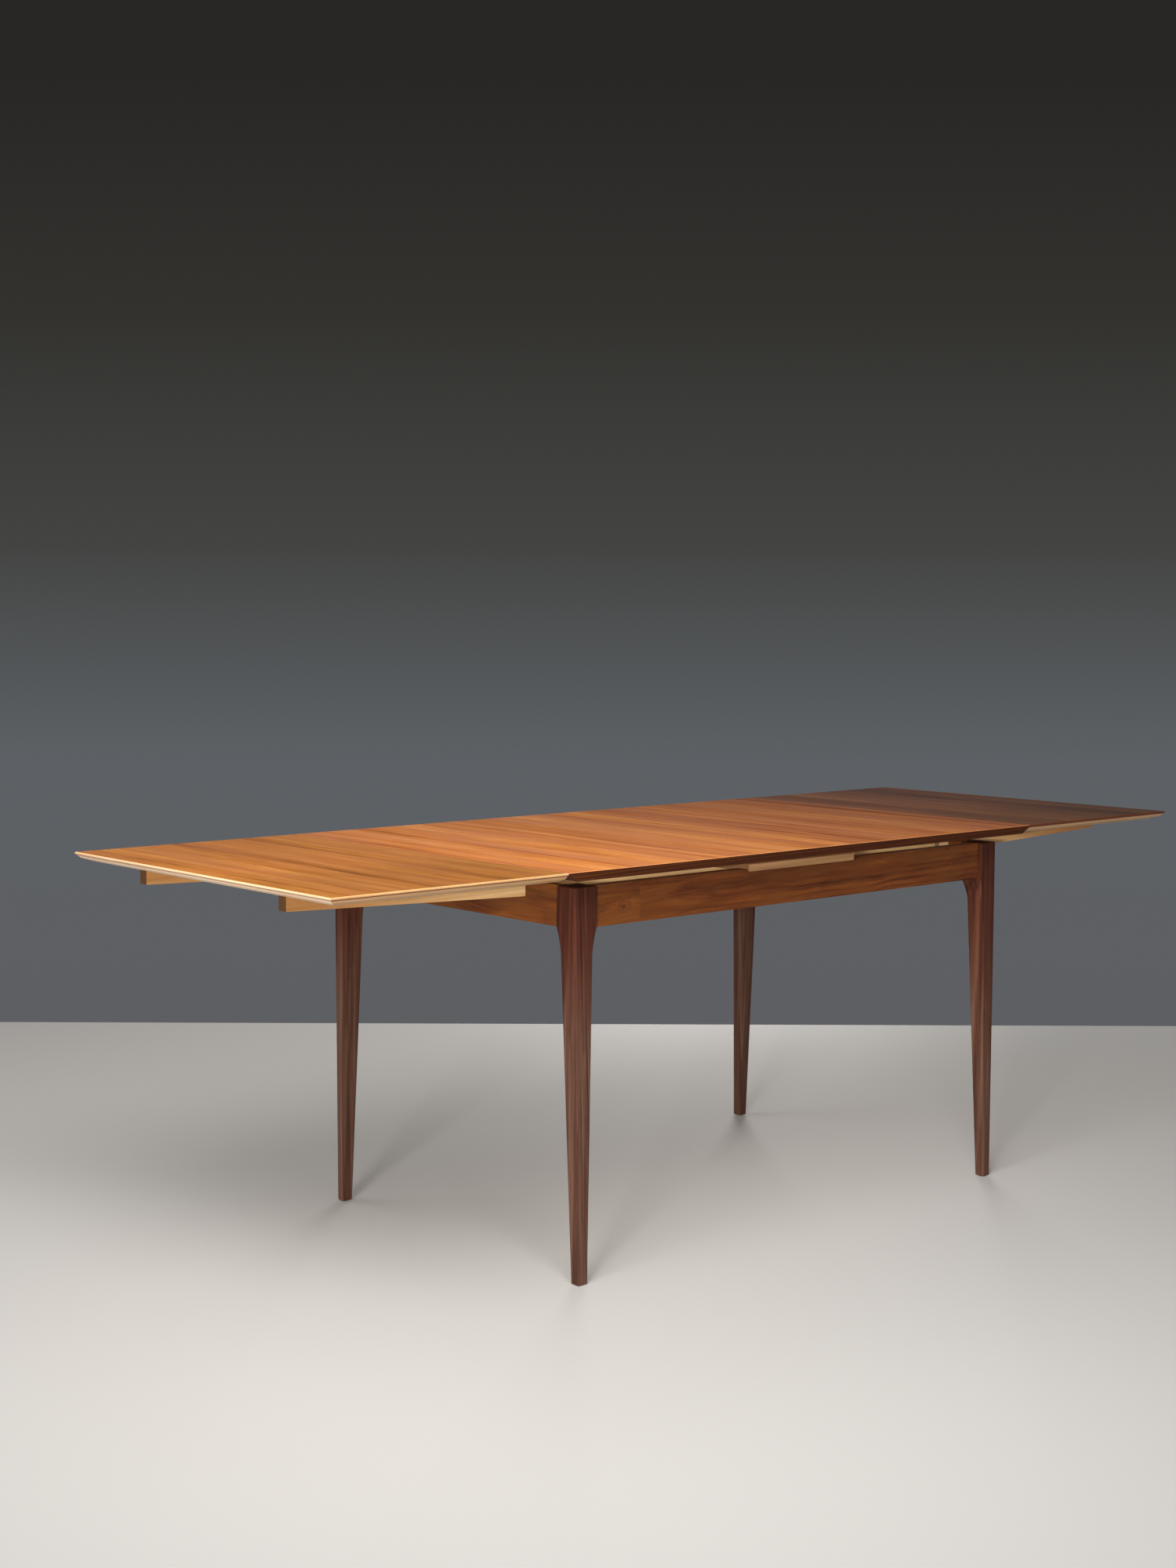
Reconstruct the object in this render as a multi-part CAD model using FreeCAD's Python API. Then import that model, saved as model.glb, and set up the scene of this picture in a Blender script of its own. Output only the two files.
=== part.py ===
import FreeCAD, Part
import math
import os

# Draw-leaf extending table, drawn out. Millimetres, +Z up, +X along the table, +Y to the back.
# The origin is on the floor, under the middle of the table.
# Each leaf hangs on two tapered bearers that slide through notches in the end apron. Pushed home, a leaf
# sinks by the top's thickness and lies between the frame and the loose top.

# Whole table
HEIGHT = 740.0
WIDTH = 820.0
TOP_LENGTH = 1268.0
LEAF_LENGTH = 487.0
SEAM_GAP = 0.8

# Boards and their veneer
TOP_THICK = 16.5
LEAF_THICK = 17.0
VENEER = 0.9
TOP_LIPPING = 32.0
LEAF_LIPPING = 34.0

# Edge of the loose top
TOP_END_BEVEL = 22.0
TOP_SIDE_UNDERCUT = 2.0
TOP_ARRIS = 0.5

# Moulded edge of a leaf: round nose, sharp quirk, steep facet, flat bevel
NOSE_RADIUS = 2.5
NOSE_WRAP = 50.0
QUIRK_IN = 2.4
QUIRK_DROP = 5.0
FACET = 5.5
BEVEL_RUN = 18.0

# Stacking of a leaf that is pushed home
STACK_GAP = 0.6
BOARD_GAP = 1.0

# Legs
LEG_INSET_END = 54.0
LEG_INSET_SIDE = 46.0
LEG_HEAD = 52.0
LEG_KNEE = 41.0
LEG_FOOT = 22.0
LEG_LEAN_IN = 6.0
LEG_SPLAY = 5.0
LEG_ARRIS = 4.0
LEG_CHAMFER = 2.0
KNEE_HEIGHT = 52.0
KNEE_SECTIONS = 7

# Aprons and their tenons
APRON_DEPTH = 73.3
APRON_THICK = 20.0
APRON_SETBACK = 5.0
TENON_WALL = 2.0
TENON_THICK = 10.0
TENON_SHOULDER = 8.0
MORTISE_GAP = 0.2

# Bearers
BEARER_THICK = 22.0
BEARER_INSET = 42.0
BEARER_OUTER_DEPTH = 29.0
BEARER_FROM_SIDE = 103.0
BEARER_SIDE_GAP = 3.0
BEARER_PAST_CENTRE = 45.0
BEARER_END_CUT = 28.0
BEARER_STEP = 6.0
RUN_GAP = 0.8
NOTCH_GAP = 0.3
NOTCH_SIDE_GAP = 0.75

# Stop blocks on the bearers
STOP_LENGTH = 30.0
STOP_THICK = 12.0
STOP_DEPTH = 24.0
STOP_RAISE = 5.0
STOP_GAP = 0.5

# Centre board, its seat in the long aprons, and the felt on it
SEAT_DEPTH = 6.2
SEAT_FLARE = 16.0
SEAT_GAP = 0.5
BOARD_END_INSET = 1.0
BOARD_END_BEVEL = 22.0
BOARD_END_NOSE = 13.0
FELT_THICK = 2.5
FELT_WIDTH = 30.0
FELT_INSET = 14.0
FELT_END = 45.0
FELT_GAP = 0.2

# Locating pegs
PEG_RADIUS = 10.0
PEG_SOCKET = 8.0
PEG_Y = 120.0
PEG_GAP = 0.5
PEG_SHORT = 2.0
PEG_CHAMFER = 2.0

# Centre rail
RAIL_WIDTH = 60.0
RAIL_DEPTH = 20.0
RAIL_GAP = 0.4

# Corner blocks
BLOCK_LEG = 75.0
BLOCK_DEPTH = 36.0

# Screws
SCREW_RADIUS = 2.2
SCREW_HEAD_RADIUS = 4.2
SCREW_HEAD = 2.6
SCREW_GAP = 0.15
LEAF_SCREW_BITE = 10.0
LEAF_SCREW_GRIP = 12.0
LEAF_SCREW_END = 40.0
LEAF_SCREWS = 3
APRON_SCREW_BITE = 13.0
BLOCK_SCREW_SEAT = 14.0
BLOCK_SCREW_ALONG = 50.0
BOARD_SCREW_BITE = 24.0
BOARD_SCREW_INSET = 24.0

# Foot glides
GLIDE_RADIUS = 7.5
GLIDE_HEIGHT = 1.5
GLIDE_CHAMFER = 0.4
GLIDE_PIN_RADIUS = 1.5
GLIDE_PIN = 14.0

# Worked-out sizes
HALF_TOP = TOP_LENGTH / 2
HALF_WIDTH = WIDTH / 2
LEAF_INNER = HALF_TOP + SEAM_GAP
LEAF_OUTER = LEAF_INNER + LEAF_LENGTH
TRAVEL = LEAF_LENGTH + SEAM_GAP
DROP = TOP_THICK + STACK_GAP
SLOPE = DROP / TRAVEL
TOP_UNDER = HEIGHT - TOP_THICK
LEAF_UNDER = HEIGHT - LEAF_THICK
FRAME_TOP = LEAF_UNDER - DROP - STACK_GAP
APRON_BOTTOM = FRAME_TOP - APRON_DEPTH
LEG_X = HALF_TOP - LEG_INSET_END
LEG_Y = HALF_WIDTH - LEG_INSET_SIDE
END_OUT = LEG_X - APRON_SETBACK
END_IN = END_OUT - APRON_THICK
SIDE_OUT = LEG_Y - APRON_SETBACK
SIDE_IN = SIDE_OUT - APRON_THICK
KNEE_BOTTOM = APRON_BOTTOM - KNEE_HEIGHT
BOARD_HALF = HALF_TOP - LEAF_LENGTH - BOARD_GAP
BOARD_UNDER = FRAME_TOP - SEAT_DEPTH
BOARD_TOP = TOP_UNDER - FELT_GAP - FELT_THICK
BOARD_END = SIDE_OUT - BOARD_END_INSET
BEARER_OUTER_Y = SIDE_IN - BEARER_FROM_SIDE
BEARER_INNER_Y = BEARER_OUTER_Y - BEARER_THICK - BEARER_SIDE_GAP
BEARER_END = LEAF_OUTER - BEARER_INSET
TENON_LENGTH = LEG_HEAD - APRON_SETBACK - (APRON_THICK + TENON_THICK) / 2 - TENON_WALL
TENON_BOTTOM = APRON_BOTTOM + TENON_SHOULDER
TENON_TOP = FRAME_TOP - TENON_SHOULDER


def bearer_under(x):
    """Height of the bearer's lower edge at x, on the left leaf."""
    return LEAF_UNDER - BEARER_OUTER_DEPTH - SLOPE * (x + BEARER_END)


BEARER_DEPTH = BOARD_UNDER - RUN_GAP - bearer_under(-BOARD_HALF)
RAIL_TOP = bearer_under(RAIL_WIDTH / 2) - RAIL_GAP


def vec(x, y, z):
    return FreeCAD.Vector(x, y, z)


def box(x0, x1, y0, y1, z0, z1):
    """Box between two corners, whichever way round they are given."""
    low = vec(min(x0, x1), min(y0, y1), min(z0, z1))
    return Part.makeBox(abs(x1 - x0), abs(y1 - y0), abs(z1 - z0), low)


def prism(points, sweep):
    """Straight prism on a closed outline of points."""
    return Part.Face(Part.makePolygon(points + [points[0]])).extrude(sweep)


def half_turn(shape):
    """Copy turned half a turn about the middle of the table: left leaf to right leaf."""
    turned = shape.copy()
    turned.rotate(vec(0, 0, 0), vec(0, 0, 1), 180)
    return turned


def save(name, *solids):
    """Write one node, which holds one solid or a group of separate ones."""
    shape = solids[0] if len(solids) == 1 else Part.makeCompound(list(solids))
    shape.exportStep("parts/" + name + ".step")


def screw(tip, head, direction):
    """Wood screw with a flat cylinder head, from its tip to the seat of its head."""
    shank = Part.makeCylinder(SCREW_RADIUS, (head - tip).Length, tip, direction)
    cap = Part.makeCylinder(SCREW_HEAD_RADIUS, SCREW_HEAD, head, direction)
    return shank.fuse(cap).removeSplitter()


def screw_hole(tip, head, direction, way_in):
    """Hole for a screw, with the wide way in for its head."""
    start = tip - direction * SCREW_GAP
    shank = Part.makeCylinder(SCREW_RADIUS + SCREW_GAP, (head - start).Length, start, direction)
    wide = Part.makeCylinder(SCREW_HEAD_RADIUS + SCREW_GAP, way_in, head, direction)
    return shank.fuse(wide)


# Edge outlines, as edges in a plane: inward runs from the outermost line, drop runs down from the face.

def moulded_edge(place):
    """Edges of a leaf's moulding from the face down to the underside.

    place turns an inward distance and a drop into a point of the table.
    """
    wrap = math.radians(NOSE_WRAP)
    facet_in = QUIRK_IN + FACET
    facet_drop = QUIRK_DROP + FACET

    def on_nose(angle):
        return place(NOSE_RADIUS * (1 - math.cos(angle)), NOSE_RADIUS * (1 - math.sin(angle)))

    nose_end = on_nose(-wrap)
    nose = Part.Arc(on_nose(math.pi / 2), on_nose((math.pi / 2 - wrap) / 2), nose_end).toShape()
    quirk = place(QUIRK_IN, QUIRK_DROP)
    arris = place(facet_in, facet_drop)
    foot = place(facet_in + BEVEL_RUN, LEAF_THICK)
    return [nose, Part.makeLine(nose_end, quirk), Part.makeLine(quirk, arris), Part.makeLine(arris, foot)]


def chain(points):
    """Straight edges through the points in turn."""
    return [Part.makeLine(a, b) for a, b in zip(points, points[1:])]


def ends(edges):
    """First and last point of a run of edges."""
    return edges[0].firstVertex().Point, edges[-1].lastVertex().Point


def outline_prism(first, second, sweep):
    """Prism on two edge runs that both go from the face down to the underside."""
    first_top, first_foot = ends(first)
    second_top, second_foot = ends(second)
    across = [Part.makeLine(first_top, second_top), Part.makeLine(first_foot, second_foot)]
    wire = Part.Wire(Part.__sortEdges__(first + second + across))
    return Part.Face(wire).extrude(sweep)


def leaf_outlines():
    """Two long prisms whose common part is the left leaf: one along Y, one along X.

    Both run past the leaf's corners by the width of a lipping, so that a mitre cuts through them cleanly.
    """
    low_y = -HALF_WIDTH - LEAF_LIPPING
    low_x = -LEAF_OUTER - LEAF_LIPPING

    def outer(inward, drop):
        return vec(-LEAF_OUTER + inward, low_y, HEIGHT - drop)

    def front(inward, drop):
        return vec(low_x, -HALF_WIDTH + inward, HEIGHT - drop)

    def back(inward, drop):
        return vec(low_x, HALF_WIDTH - inward, HEIGHT - drop)

    inner = chain([
        vec(-LEAF_INNER - VENEER, low_y, HEIGHT),
        vec(-LEAF_INNER, low_y, HEIGHT - VENEER),
        vec(-LEAF_INNER, low_y, LEAF_UNDER),
    ])
    across = outline_prism(moulded_edge(outer), inner, vec(0, WIDTH + 2 * LEAF_LIPPING, 0))
    length = LEAF_LENGTH + 2 * LEAF_LIPPING
    along = outline_prism(moulded_edge(front), moulded_edge(back), vec(length, 0, 0))
    return across, along


def top_outlines():
    """The same two prisms for the loose top: bevelled under its ends, a little undercut at its sides."""
    low_y = -HALF_WIDTH - TOP_LIPPING
    low_x = -HALF_TOP - TOP_LIPPING
    skin = HEIGHT - VENEER

    def end(side):
        x = side * HALF_TOP
        return chain([
            vec(x - side * TOP_ARRIS, low_y, HEIGHT),
            vec(x, low_y, HEIGHT - TOP_ARRIS),
            vec(x, low_y, skin),
            vec(x - side * TOP_END_BEVEL, low_y, TOP_UNDER),
        ])

    def flank(side):
        y = side * HALF_WIDTH
        return chain([
            vec(low_x, y - side * TOP_ARRIS, HEIGHT),
            vec(low_x, y, HEIGHT - TOP_ARRIS),
            vec(low_x, y, skin),
            vec(low_x, y - side * TOP_SIDE_UNDERCUT, TOP_UNDER),
        ])

    across = outline_prism(end(-1), end(1), vec(0, WIDTH + 2 * TOP_LIPPING, 0))
    along = outline_prism(flank(-1), flank(1), vec(TOP_LENGTH + 2 * TOP_LIPPING, 0, 0))
    return across, along


def ground(points, under):
    """Space between a panel's underside and its veneer, over a closed plan of (x, y) points."""
    return prism([vec(x, y, under) for x, y in points], vec(0, 0, HEIGHT - VENEER - under))


def rectangle(x0, x1, y0, y1):
    """Plan of a rectangle."""
    return [(x0, y0), (x1, y0), (x1, y1), (x0, y1)]


# Pieces of the loose top

def make_top():
    across, along = top_outlines()
    panel = across.common(along)
    spare = TOP_LIPPING
    x_out, x_in = HALF_TOP + spare, HALF_TOP - TOP_LIPPING
    y_out, y_in = HALF_WIDTH + spare, HALF_WIDTH - TOP_LIPPING
    lippings = {
        "front": rectangle(-x_out, x_out, -y_out, -y_in),
        "back": rectangle(-x_out, x_out, y_in, y_out),
        "left": rectangle(-x_out, -x_in, -y_in, y_in),
        "right": rectangle(x_in, x_out, -y_in, y_in),
    }
    for name, plan in lippings.items():
        save("top_lipping_" + name, panel.common(ground(plan, TOP_UNDER)))
    save("top_veneer", panel.cut(ground(rectangle(-x_out, x_out, -y_out, y_out), TOP_UNDER)))
    core = ground(rectangle(-x_in, x_in, -y_in, y_in), TOP_UNDER)
    pegs = []
    for y in (-PEG_Y, PEG_Y):
        foot = BOARD_UNDER + PEG_SHORT
        peg = Part.makeCylinder(PEG_RADIUS, TOP_UNDER + PEG_SOCKET - foot, vec(0, y, foot))
        rim = [edge for edge in peg.Edges if edge.BoundBox.ZMax < foot + PEG_CHAMFER]
        peg = peg.makeChamfer(PEG_CHAMFER, rim)
        core = core.cut(peg)
        pegs.append(peg)
    save("top_board", core)
    save("locating_pegs", *pegs)


# Pieces of a leaf, made for the left leaf and turned half round for the right one

def bearer(y):
    """Tapered bearer of the left leaf, centred on y."""
    start = -BEARER_END
    step = -LEAF_INNER - BEARER_STEP
    finish = BEARER_PAST_CENTRE
    side = y - BEARER_THICK / 2
    outline = [
        vec(start, side, bearer_under(start)),
        vec(start, side, LEAF_UNDER),
        vec(step, side, LEAF_UNDER),
        vec(step, side, bearer_under(step) + BEARER_DEPTH),
        vec(finish, side, bearer_under(finish) + BEARER_DEPTH),
        vec(finish - BEARER_END_CUT, side, bearer_under(finish - BEARER_END_CUT)),
    ]
    return prism(outline, vec(0, BEARER_THICK, 0))


def stop_block(y):
    """Block on a bearer's back side that meets the end apron when the leaf is right out."""
    start = -END_IN + STOP_GAP
    bottom = bearer_under(start) + STOP_RAISE
    face = y + BEARER_THICK / 2
    return box(start, start + STOP_LENGTH, face, face + STOP_THICK, bottom, bottom + STOP_DEPTH)


def leaf_panel():
    """Veneer, core and lippings of the left leaf.

    The outer end and the two sides are mitred. The inner lipping is let in between the sides.
    """
    across, along = leaf_outlines()
    spare = LEAF_LIPPING
    seam = -LEAF_INNER
    x_far, x_out, x_in = -LEAF_OUTER - spare, -LEAF_OUTER + LEAF_LIPPING, seam - LEAF_LIPPING
    y_far, y_in = HALF_WIDTH + spare, HALF_WIDTH - LEAF_LIPPING
    end_plan = [(x_far, -y_far), (x_out, -y_in), (x_out, y_in), (x_far, y_far)]
    inner_plan = rectangle(x_in, seam + spare, -y_in, y_in)

    def side_plan(side):
        return [(x_far, side * y_far), (seam, side * y_far), (seam, side * y_in), (x_out, side * y_in)]

    cover = rectangle(x_far, seam + spare, -y_far, y_far)
    return {
        "veneer": across.common(along).cut(ground(cover, LEAF_UNDER)),
        "board": ground(rectangle(x_out, x_in, -y_in, y_in), LEAF_UNDER),
        "lipping_outer": across.common(ground(end_plan, LEAF_UNDER)),
        "lipping_inner": across.common(ground(inner_plan, LEAF_UNDER)),
        "lipping_front": along.common(ground(side_plan(-1), LEAF_UNDER)),
        "lipping_back": along.common(ground(side_plan(1), LEAF_UNDER)),
    }


def make_leaves():
    pieces = {name: [solid] for name, solid in leaf_panel().items()}
    core = pieces["board"][0]
    down = vec(0, 0, -1)
    pitch = (LEAF_LENGTH - BEARER_INSET - BEARER_STEP - 2 * LEAF_SCREW_END) / (LEAF_SCREWS - 1)
    bearers = []
    stops = []
    screws = []
    for y in (-BEARER_INNER_Y, BEARER_OUTER_Y):
        piece = bearer(y)
        for i in range(LEAF_SCREWS):
            x = -BEARER_END + LEAF_SCREW_END + i * pitch
            tip = vec(x, y, LEAF_UNDER + LEAF_SCREW_BITE)
            head = vec(x, y, LEAF_UNDER - LEAF_SCREW_GRIP)
            hole = screw_hole(tip, head, down, BEARER_OUTER_DEPTH + DROP)
            piece = piece.cut(hole)
            core = core.cut(hole)
            screws.append(screw(tip, head, down))
        bearers.append(piece)
        stops.append(stop_block(y))
    pieces["board"] = [core]
    pieces["bearer_front"], pieces["bearer_back"] = [bearers[0]], [bearers[1]]
    pieces["stops"] = stops
    pieces["screws"] = screws
    swapped = {"front": "back", "back": "front"}
    for name, solids in pieces.items():
        save("left_leaf_" + name, *solids)
        stem, _, side = name.rpartition("_")
        turned_name = stem + "_" + swapped[side] if side in swapped else name
        save("right_leaf_" + turned_name, *[half_turn(solid) for solid in solids])


# Pieces of the base

def leg_corner(z):
    """Outer corner of a leg at height z. Below the aprons a leg leans in along the table and out across it."""
    share = max(0.0, APRON_BOTTOM - z) / APRON_BOTTOM
    return LEG_X - LEG_LEAN_IN * share, LEG_Y + LEG_SPLAY * share


def leg_section(sx, sy, side, z, inset=0.0):
    """Rounded square section of a leg at height z, drawn in by inset."""
    corner_x, corner_y = leg_corner(z)
    out_x = corner_x - inset
    out_y = corner_y - inset
    wide = side - 2 * inset
    arris = min(LEG_ARRIS, wide / 3)
    in_x = out_x - wide
    in_y = out_y - wide
    half = arris * (1 - math.sqrt(0.5))
    corners = ((out_x, out_y, 1, 1), (in_x, out_y, -1, 1), (in_x, in_y, -1, -1), (out_x, in_y, 1, -1))
    arcs = []
    for turn, (x, y, ox, oy) in enumerate(corners):
        on_x = (x - ox * arris, y)
        on_y = (x, y - oy * arris)
        mid = (x - ox * half, y - oy * half)
        arcs.append((on_y, mid, on_x) if turn % 2 == 0 else (on_x, mid, on_y))
    edges = []
    for i, (start, mid, stop) in enumerate(arcs):
        points = [vec(sx * x, sy * y, z) for x, y in (start, mid, stop)]
        after = arcs[(i + 1) % len(arcs)][0]
        edges.append(Part.Arc(*points).toShape())
        edges.append(Part.makeLine(points[2], vec(sx * after[0], sy * after[1], z)))
    return Part.Wire(edges)


def shaft_side(z):
    """Side of the tapered shaft at height z."""
    return LEG_FOOT + (LEG_KNEE - LEG_FOOT) * (z - GLIDE_HEIGHT) / (KNEE_BOTTOM - GLIDE_HEIGHT)


def leg(sx, sy):
    """Leg: square head, hollow knee on its two inner faces, tapered shaft."""
    foot = leg_section(sx, sy, LEG_FOOT, GLIDE_HEIGHT)
    knee = []
    for i in range(KNEE_SECTIONS):
        share = i / (KNEE_SECTIONS - 1)
        z = KNEE_BOTTOM + KNEE_HEIGHT * share
        side = shaft_side(z) + (LEG_HEAD - shaft_side(z)) * share * share
        knee.append(leg_section(sx, sy, side, z))
    head_top = leg_section(sx, sy, LEG_HEAD, FRAME_TOP - LEG_CHAMFER)
    cap = leg_section(sx, sy, LEG_HEAD, FRAME_TOP, LEG_CHAMFER)
    parts = [
        Part.makeLoft([foot, knee[0]], True, True),
        Part.makeLoft(knee, True, False),
        Part.makeLoft([knee[-1], head_top], True, True),
        Part.makeLoft([head_top, cap], True, True),
    ]
    return parts[0].multiFuse(parts[1:])


def tenons_x(sx, sy):
    """Tenon of a long apron in the leg, and the mortise that takes it."""
    face = LEG_X - LEG_HEAD
    middle = SIDE_OUT - APRON_THICK / 2
    half = TENON_THICK / 2
    gap = MORTISE_GAP
    tenon = box(sx * face, sx * (face + TENON_LENGTH), sy * (middle - half), sy * (middle + half),
                TENON_BOTTOM, TENON_TOP)
    mortise = box(sx * (face - gap), sx * (face + TENON_LENGTH + gap), sy * (middle - half - gap),
                  sy * (middle + half + gap), TENON_BOTTOM - gap, TENON_TOP + gap)
    return tenon, mortise


def tenons_y(sx, sy):
    """Tenon of an end apron in the leg, and the mortise that takes it."""
    face = LEG_Y - LEG_HEAD
    middle = END_OUT - APRON_THICK / 2
    half = TENON_THICK / 2
    gap = MORTISE_GAP
    tenon = box(sx * (middle - half), sx * (middle + half), sy * face, sy * (face + TENON_LENGTH),
                TENON_BOTTOM, TENON_TOP)
    mortise = box(sx * (middle - half - gap), sx * (middle + half + gap), sy * (face - gap),
                  sy * (face + TENON_LENGTH + gap), TENON_BOTTOM - gap, TENON_TOP + gap)
    return tenon, mortise


def glide(sx, sy):
    """Nailed glide in the middle of a foot."""
    corner_x, corner_y = leg_corner(GLIDE_HEIGHT)
    x = sx * (corner_x - LEG_FOOT / 2)
    y = sy * (corner_y - LEG_FOOT / 2)
    disc = Part.makeCylinder(GLIDE_RADIUS, GLIDE_HEIGHT, vec(x, y, 0))
    rim = [edge for edge in disc.Edges if edge.BoundBox.ZMax < GLIDE_HEIGHT / 2]
    disc = disc.makeChamfer(GLIDE_CHAMFER, rim)
    pin = Part.makeCylinder(GLIDE_PIN_RADIUS, GLIDE_PIN, vec(x, y, GLIDE_HEIGHT))
    return disc.fuse(pin).removeSplitter()


def corner_block(sx, sy):
    """Glue block in the angle of two aprons, cut away round the leg's head, with its two screws."""
    leg_in_x = LEG_X - LEG_HEAD
    leg_in_y = LEG_Y - LEG_HEAD
    bottom = (APRON_BOTTOM + FRAME_TOP - BLOCK_DEPTH) / 2
    plan = [
        (leg_in_x, SIDE_IN),
        (END_IN - BLOCK_LEG, SIDE_IN),
        (END_IN, SIDE_IN - BLOCK_LEG),
        (END_IN, leg_in_y),
        (leg_in_x, leg_in_y),
    ]
    block = prism([vec(sx * x, sy * y, bottom) for x, y in plan], vec(0, 0, BLOCK_DEPTH))
    middle = bottom + BLOCK_DEPTH / 2
    screws = []
    holes = []
    into_end = (
        vec(sx * (END_IN + APRON_SCREW_BITE), sy * (SIDE_IN - BLOCK_SCREW_ALONG), middle),
        vec(sx * (END_IN - BLOCK_SCREW_SEAT), sy * (SIDE_IN - BLOCK_SCREW_ALONG), middle),
        vec(-sx, 0, 0),
    )
    into_side = (
        vec(sx * (END_IN - BLOCK_SCREW_ALONG), sy * (SIDE_IN + APRON_SCREW_BITE), middle),
        vec(sx * (END_IN - BLOCK_SCREW_ALONG), sy * (SIDE_IN - BLOCK_SCREW_SEAT), middle),
        vec(0, -sy, 0),
    )
    for tip, head, direction in (into_end, into_side):
        screws.append(screw(tip, head, direction))
        holes.append(screw_hole(tip, head, direction, BLOCK_LEG))
        block = block.cut(holes[-1])
    return block, screws, holes


def long_apron(sy):
    """Long apron: tenons at both ends, and a flared seat in its top edge for the centre board."""
    face = LEG_X - LEG_HEAD
    apron = box(-face, face, sy * SIDE_IN, sy * SIDE_OUT, APRON_BOTTOM, FRAME_TOP)
    for sx in (-1, 1):
        apron = apron.fuse(tenons_x(sx, sy)[0])
    low = BOARD_HALF + SEAT_GAP
    high = low + SEAT_FLARE
    seat = [
        vec(-low, sy * SIDE_IN, BOARD_UNDER),
        vec(low, sy * SIDE_IN, BOARD_UNDER),
        vec(high, sy * SIDE_IN, FRAME_TOP),
        vec(-high, sy * SIDE_IN, FRAME_TOP),
    ]
    return apron.cut(prism(seat, vec(0, sy * APRON_THICK, 0))).removeSplitter()


def end_apron(sx):
    """End apron: tenons at both ends, and two open notches that the leaf's bearers run in."""
    face = LEG_Y - LEG_HEAD
    apron = box(sx * END_IN, sx * END_OUT, -face, face, APRON_BOTTOM, FRAME_TOP)
    for sy in (-1, 1):
        apron = apron.fuse(tenons_y(sx, sy)[0])
    for y in (-BEARER_INNER_Y, BEARER_OUTER_Y):
        low = -sx * y - BEARER_THICK / 2 - NOTCH_SIDE_GAP
        notch = [
            vec(sx * END_OUT, low, bearer_under(-END_OUT) - NOTCH_GAP),
            vec(sx * END_IN, low, bearer_under(-END_IN) - NOTCH_GAP),
            vec(sx * END_IN, low, FRAME_TOP),
            vec(sx * END_OUT, low, FRAME_TOP),
        ]
        apron = apron.cut(prism(notch, vec(0, BEARER_THICK + 2 * NOTCH_SIDE_GAP, 0)))
    return apron.removeSplitter()


def centre_board():
    """Fixed board between the leaves, with sloped ends and holes for the pegs."""
    outline = [
        vec(-BOARD_HALF, -BOARD_END, BOARD_UNDER),
        vec(-BOARD_HALF, -BOARD_END, BOARD_UNDER + BOARD_END_NOSE),
        vec(-BOARD_HALF, -BOARD_END + BOARD_END_BEVEL, BOARD_TOP),
        vec(-BOARD_HALF, BOARD_END - BOARD_END_BEVEL, BOARD_TOP),
        vec(-BOARD_HALF, BOARD_END, BOARD_UNDER + BOARD_END_NOSE),
        vec(-BOARD_HALF, BOARD_END, BOARD_UNDER),
    ]
    board = prism(outline, vec(2 * BOARD_HALF, 0, 0))
    for y in (-PEG_Y, PEG_Y):
        hole = Part.makeCylinder(PEG_RADIUS + PEG_GAP, BOARD_TOP - BOARD_UNDER, vec(0, y, BOARD_UNDER))
        board = board.cut(hole)
    return board


def board_screws():
    """Screws that hold the centre board down in the long aprons, and their holes."""
    up = vec(0, 0, 1)
    middle = SIDE_OUT - APRON_THICK / 2
    head = BOARD_UNDER + BOARD_END_NOSE - SCREW_HEAD
    screws = []
    holes = []
    reach = BOARD_HALF - BOARD_SCREW_INSET
    for x in (-reach, reach):
        for y in (-middle, middle):
            tip = vec(x, y, BOARD_UNDER - BOARD_SCREW_BITE)
            seat = vec(x, y, head)
            screws.append(screw(tip, seat, up))
            holes.append(screw_hole(tip, seat, up, BOARD_TOP - head))
    return screws, holes


def felt_strip(side):
    """Felt strip that the loose top rests on, near one end of the centre board."""
    half = BOARD_HALF - FELT_INSET
    edge = side * (BOARD_END - FELT_END)
    return box(-half, half, edge, edge - side * FELT_WIDTH, BOARD_TOP, BOARD_TOP + FELT_THICK)


def make_base():
    side_names = {-1: "front", 1: "back"}
    end_names = {-1: "left", 1: "right"}
    corners = [(sx, sy) for sx in (-1, 1) for sy in (-1, 1)]
    long_aprons = {sy: long_apron(sy) for sy in (-1, 1)}
    end_aprons = {sx: end_apron(sx) for sx in (-1, 1)}
    block_screws = []
    glides = []
    for sx, sy in corners:
        place = end_names[sx] + "_" + side_names[sy]
        foot = glide(sx, sy)
        piece = leg(sx, sy).cut(tenons_x(sx, sy)[1]).cut(tenons_y(sx, sy)[1]).cut(foot)
        save("leg_" + place, piece)
        block, screws, holes = corner_block(sx, sy)
        save("corner_block_" + place, block)
        end_aprons[sx] = end_aprons[sx].cut(holes[0])
        long_aprons[sy] = long_aprons[sy].cut(holes[1])
        block_screws.extend(screws)
        glides.append(foot)
    screws, holes = board_screws()
    board = centre_board()
    for hole in holes:
        board = board.cut(hole)
        long_aprons = {sy: apron.cut(hole) for sy, apron in long_aprons.items()}
    for sy, apron in long_aprons.items():
        save("apron_" + side_names[sy], apron)
    for sx, apron in end_aprons.items():
        save("apron_" + end_names[sx], apron)
    save("centre_board", board)
    half_rail = RAIL_WIDTH / 2
    save("centre_rail", box(-half_rail, half_rail, -SIDE_IN, SIDE_IN, RAIL_TOP - RAIL_DEPTH, RAIL_TOP))
    save("felt_strips", felt_strip(-1), felt_strip(1))
    save("corner_screws", *block_screws)
    save("board_screws", *screws)
    save("foot_glides", *glides)


os.makedirs("parts", exist_ok=True)
make_top()
make_leaves()
make_base()
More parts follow.
